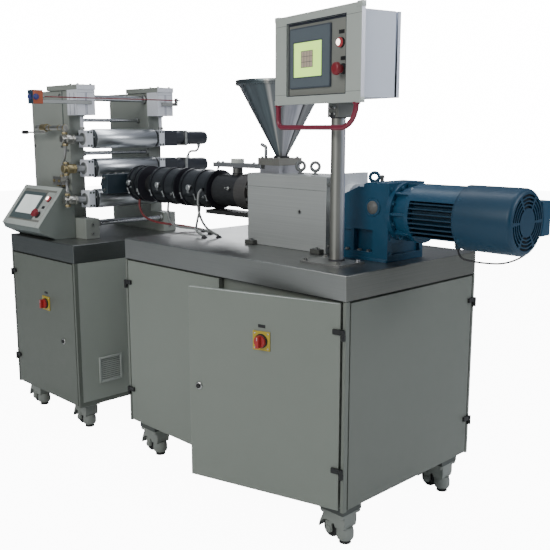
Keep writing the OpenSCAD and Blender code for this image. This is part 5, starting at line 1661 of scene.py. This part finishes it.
# The console's controls. A touch screen in a dark bezel, a lit pilot lamp and a red
# stop button on a pale plate.
screen_pale = lit("screen_pale", (0.56, 0.62, 0.60), (0.80, 0.84, 0.82), 1.3, 12.0)
bezel_green = painted("bezel_green", (0.085, 0.115, 0.115), 0.14, 700.0, 0.25)
desk_controls = bmesh.new()
for *sides, low, high, corner, index in (
        (36, 232, 34, 176, 0.5, 4.0, 4, 0), (60, 214, 62, 158, 3.8, 4.6, 2, 1),
        (242, 306, 38, 182, 0.5, 1.4, 3, 2), (262, 286, 96, 110, 1.2, 2.0, 1, 3)):
    rounded_plate(desk_controls, *sides, high, low, corner, index,
                  lambda s, out, t: on_desk(s, t, out))
for foot, sides, index, profile in (
        ((285, 145, 1), 40, 3, [(15, 0), (15, 4), (13, 6)]),
        ((285, 145, 0), 40, 4, [(13.5, 4), (13.5, 9), (12, 12), (9.5, 13.5)]),
        ((285, 145, 0), 32, 5, [(9.7, 12.8), (8.5, 14.5), (6, 15.5), (0, 15.8)]),
        ((270, 62, 1), 40, 3, [(16, 0), (16, 3), (13.5, 7), (11.5, 8)]),
        ((270, 62, 0), 48, 6, [(11.5, 6), (11.5, 14.5), (16.5, 16.5), (18.8, 18.5), (19, 23.5),
                               (17.8, 27.5), (14.5, 29.5), (0, 30)])):
    turned(desk_controls, profile, on_desk(*foot), desk_out, sides, index)
piece_of("console_controls_made", desk_controls,
         [bezel_green, screen_pale, frame_alloy, black_plastic, lamp_red, lamp_core, stop_red],
         ("console_controls",), 0.3, outwards=True)

# The casters. Cast alloy housings, rounded over a black nylon wheel at one side and
# over a rubber levelling foot at the other, bolted under dark spacer plates.
cast_grey = painted("cast_grey", (0.270, 0.290, 0.265), 0.3, 240.0, 0.4, 0.35, 0.0006)
wheel_black = rubber_material("wheel_black", (0.020, 0.020, 0.021), 0.55)
foot_rubber = rubber_material("foot_rubber", (0.024, 0.024, 0.024), 0.7)
spacer_dark = painted("spacer_dark", (0.075, 0.085, 0.078), 0.25, 400.0, 0.45)
dressed("caster_spacers", [spacer_dark])
caster_spots = [(x, y) for x in (-1145 + 75, -75) for y in (-271, 271)]
caster_spots += [(x, y) for x in (-2030 + 75, -1470 - 75) for y in (-311, 311)]
housing = bmesh.new()
wheels = bmesh.new()
feet = bmesh.new()
for cx, cy in caster_spots:
    rounded_plate(housing, cx - 50, cx + 50, cy - 46, cy + 46, 110, 102, 8, 0,
                  lambda s, t, v: spot(s, v, t))
    # The housing's side outline: a hood over the wheel, and a box over the foot's sleeve
    outline = [(44, 102), (44, 74), (42, 60), (38, 53), (4, 53), (2, 58), (-2, 66)]
    outline += [(-31 - 35 * math.cos(a), 33 + 35 * math.sin(a))
                for a in (math.radians(v) for v in (128, 112, 96, 80, 64, 48, 32, 16, 0))]
    outline += [(-66, 42), (-61, 58), (-52, 78), (-47, 92), (-44, 102)]
    loops = [[housing.verts.new(spot(cx + x, cy + y, z)) for x, z in outline] for y in (-30, 30)]
    bridged(housing, loops)
    turned(housing, [(10.6, 0), (23, 0), (26.2, 3), (28.5, 10), (28.5, 28), (26.2, 36), (25.5, 43),
                     (10.6, 43)], spot(cx + 22, cy, 12.5), (0, 0, 1), 40)
    for side in (-1, 1):
        y0, y1 = sorted((cy + side * 14.5, cy + side * 22))
        cheek = [(-18, 60), (-16, 28), (-24, 21), (-38, 21), (-44, 28), (-44, 60)]
        rims = [[housing.verts.new(spot(cx + x, y, z)) for x, z in cheek] for y in (y0, y1)]
        bridged(housing, rims)
        turned(housing, [(0, 0), (12.5, 0), (12.5, 2), (10, 4.5), (0, 5.5)],
               spot(cx - 31, cy + side * 22, 33), (0, side, 0), 32)
    turned(wheels, [(5.2, -12.5), (13, -12.5), (14, -10.5), (22, -9.5), (23.5, -11), (28.5, -11),
                    (30.2, -9.5), (31, -6), (31, 6), (30.2, 9.5), (28.5, 11), (23.5, 11), (22, 9.5),
                    (14, 10.5), (13, 12.5), (5.2, 12.5)], spot(cx - 31, cy, 33), (0, 1, 0))
    add_rod(wheels, spot(cx - 31, cy - 22, 33), spot(cx - 31, cy + 22, 33), 5, 20, 1)
    turned(feet, [(0, 0), (19.5, 0), (20, 1), (19.5, 6), (17, 8.8), (12, 10), (0, 10)],
           spot(cx + 22, cy, 0), (0, 0, 1), 40)
    turned(feet, [(0, 9), (9.8, 9), (9.8, 52), (0, 52)], spot(cx + 22, cy, 0), (0, 0, 1), 24, 1)
piece_of("caster_housings", housing, [cast_grey, zinc], ("casters",), 3, 3,
         outwards=True)
piece_of("caster_wheels_made", wheels, [wheel_black, zinc], ("caster_wheels",),
         outwards=True)
piece_of("levelling_feet_made", feet, [foot_rubber, zinc], ("levelling_feet",),
         outwards=True)
bolted("caster_bolts", [(spot(cx + dx, cy + dy, 102), (0, 0, -1)) for cx, cy in caster_spots
                        for dx in (-40, 40) for dy in (-38, 38)], 5.5, 5)
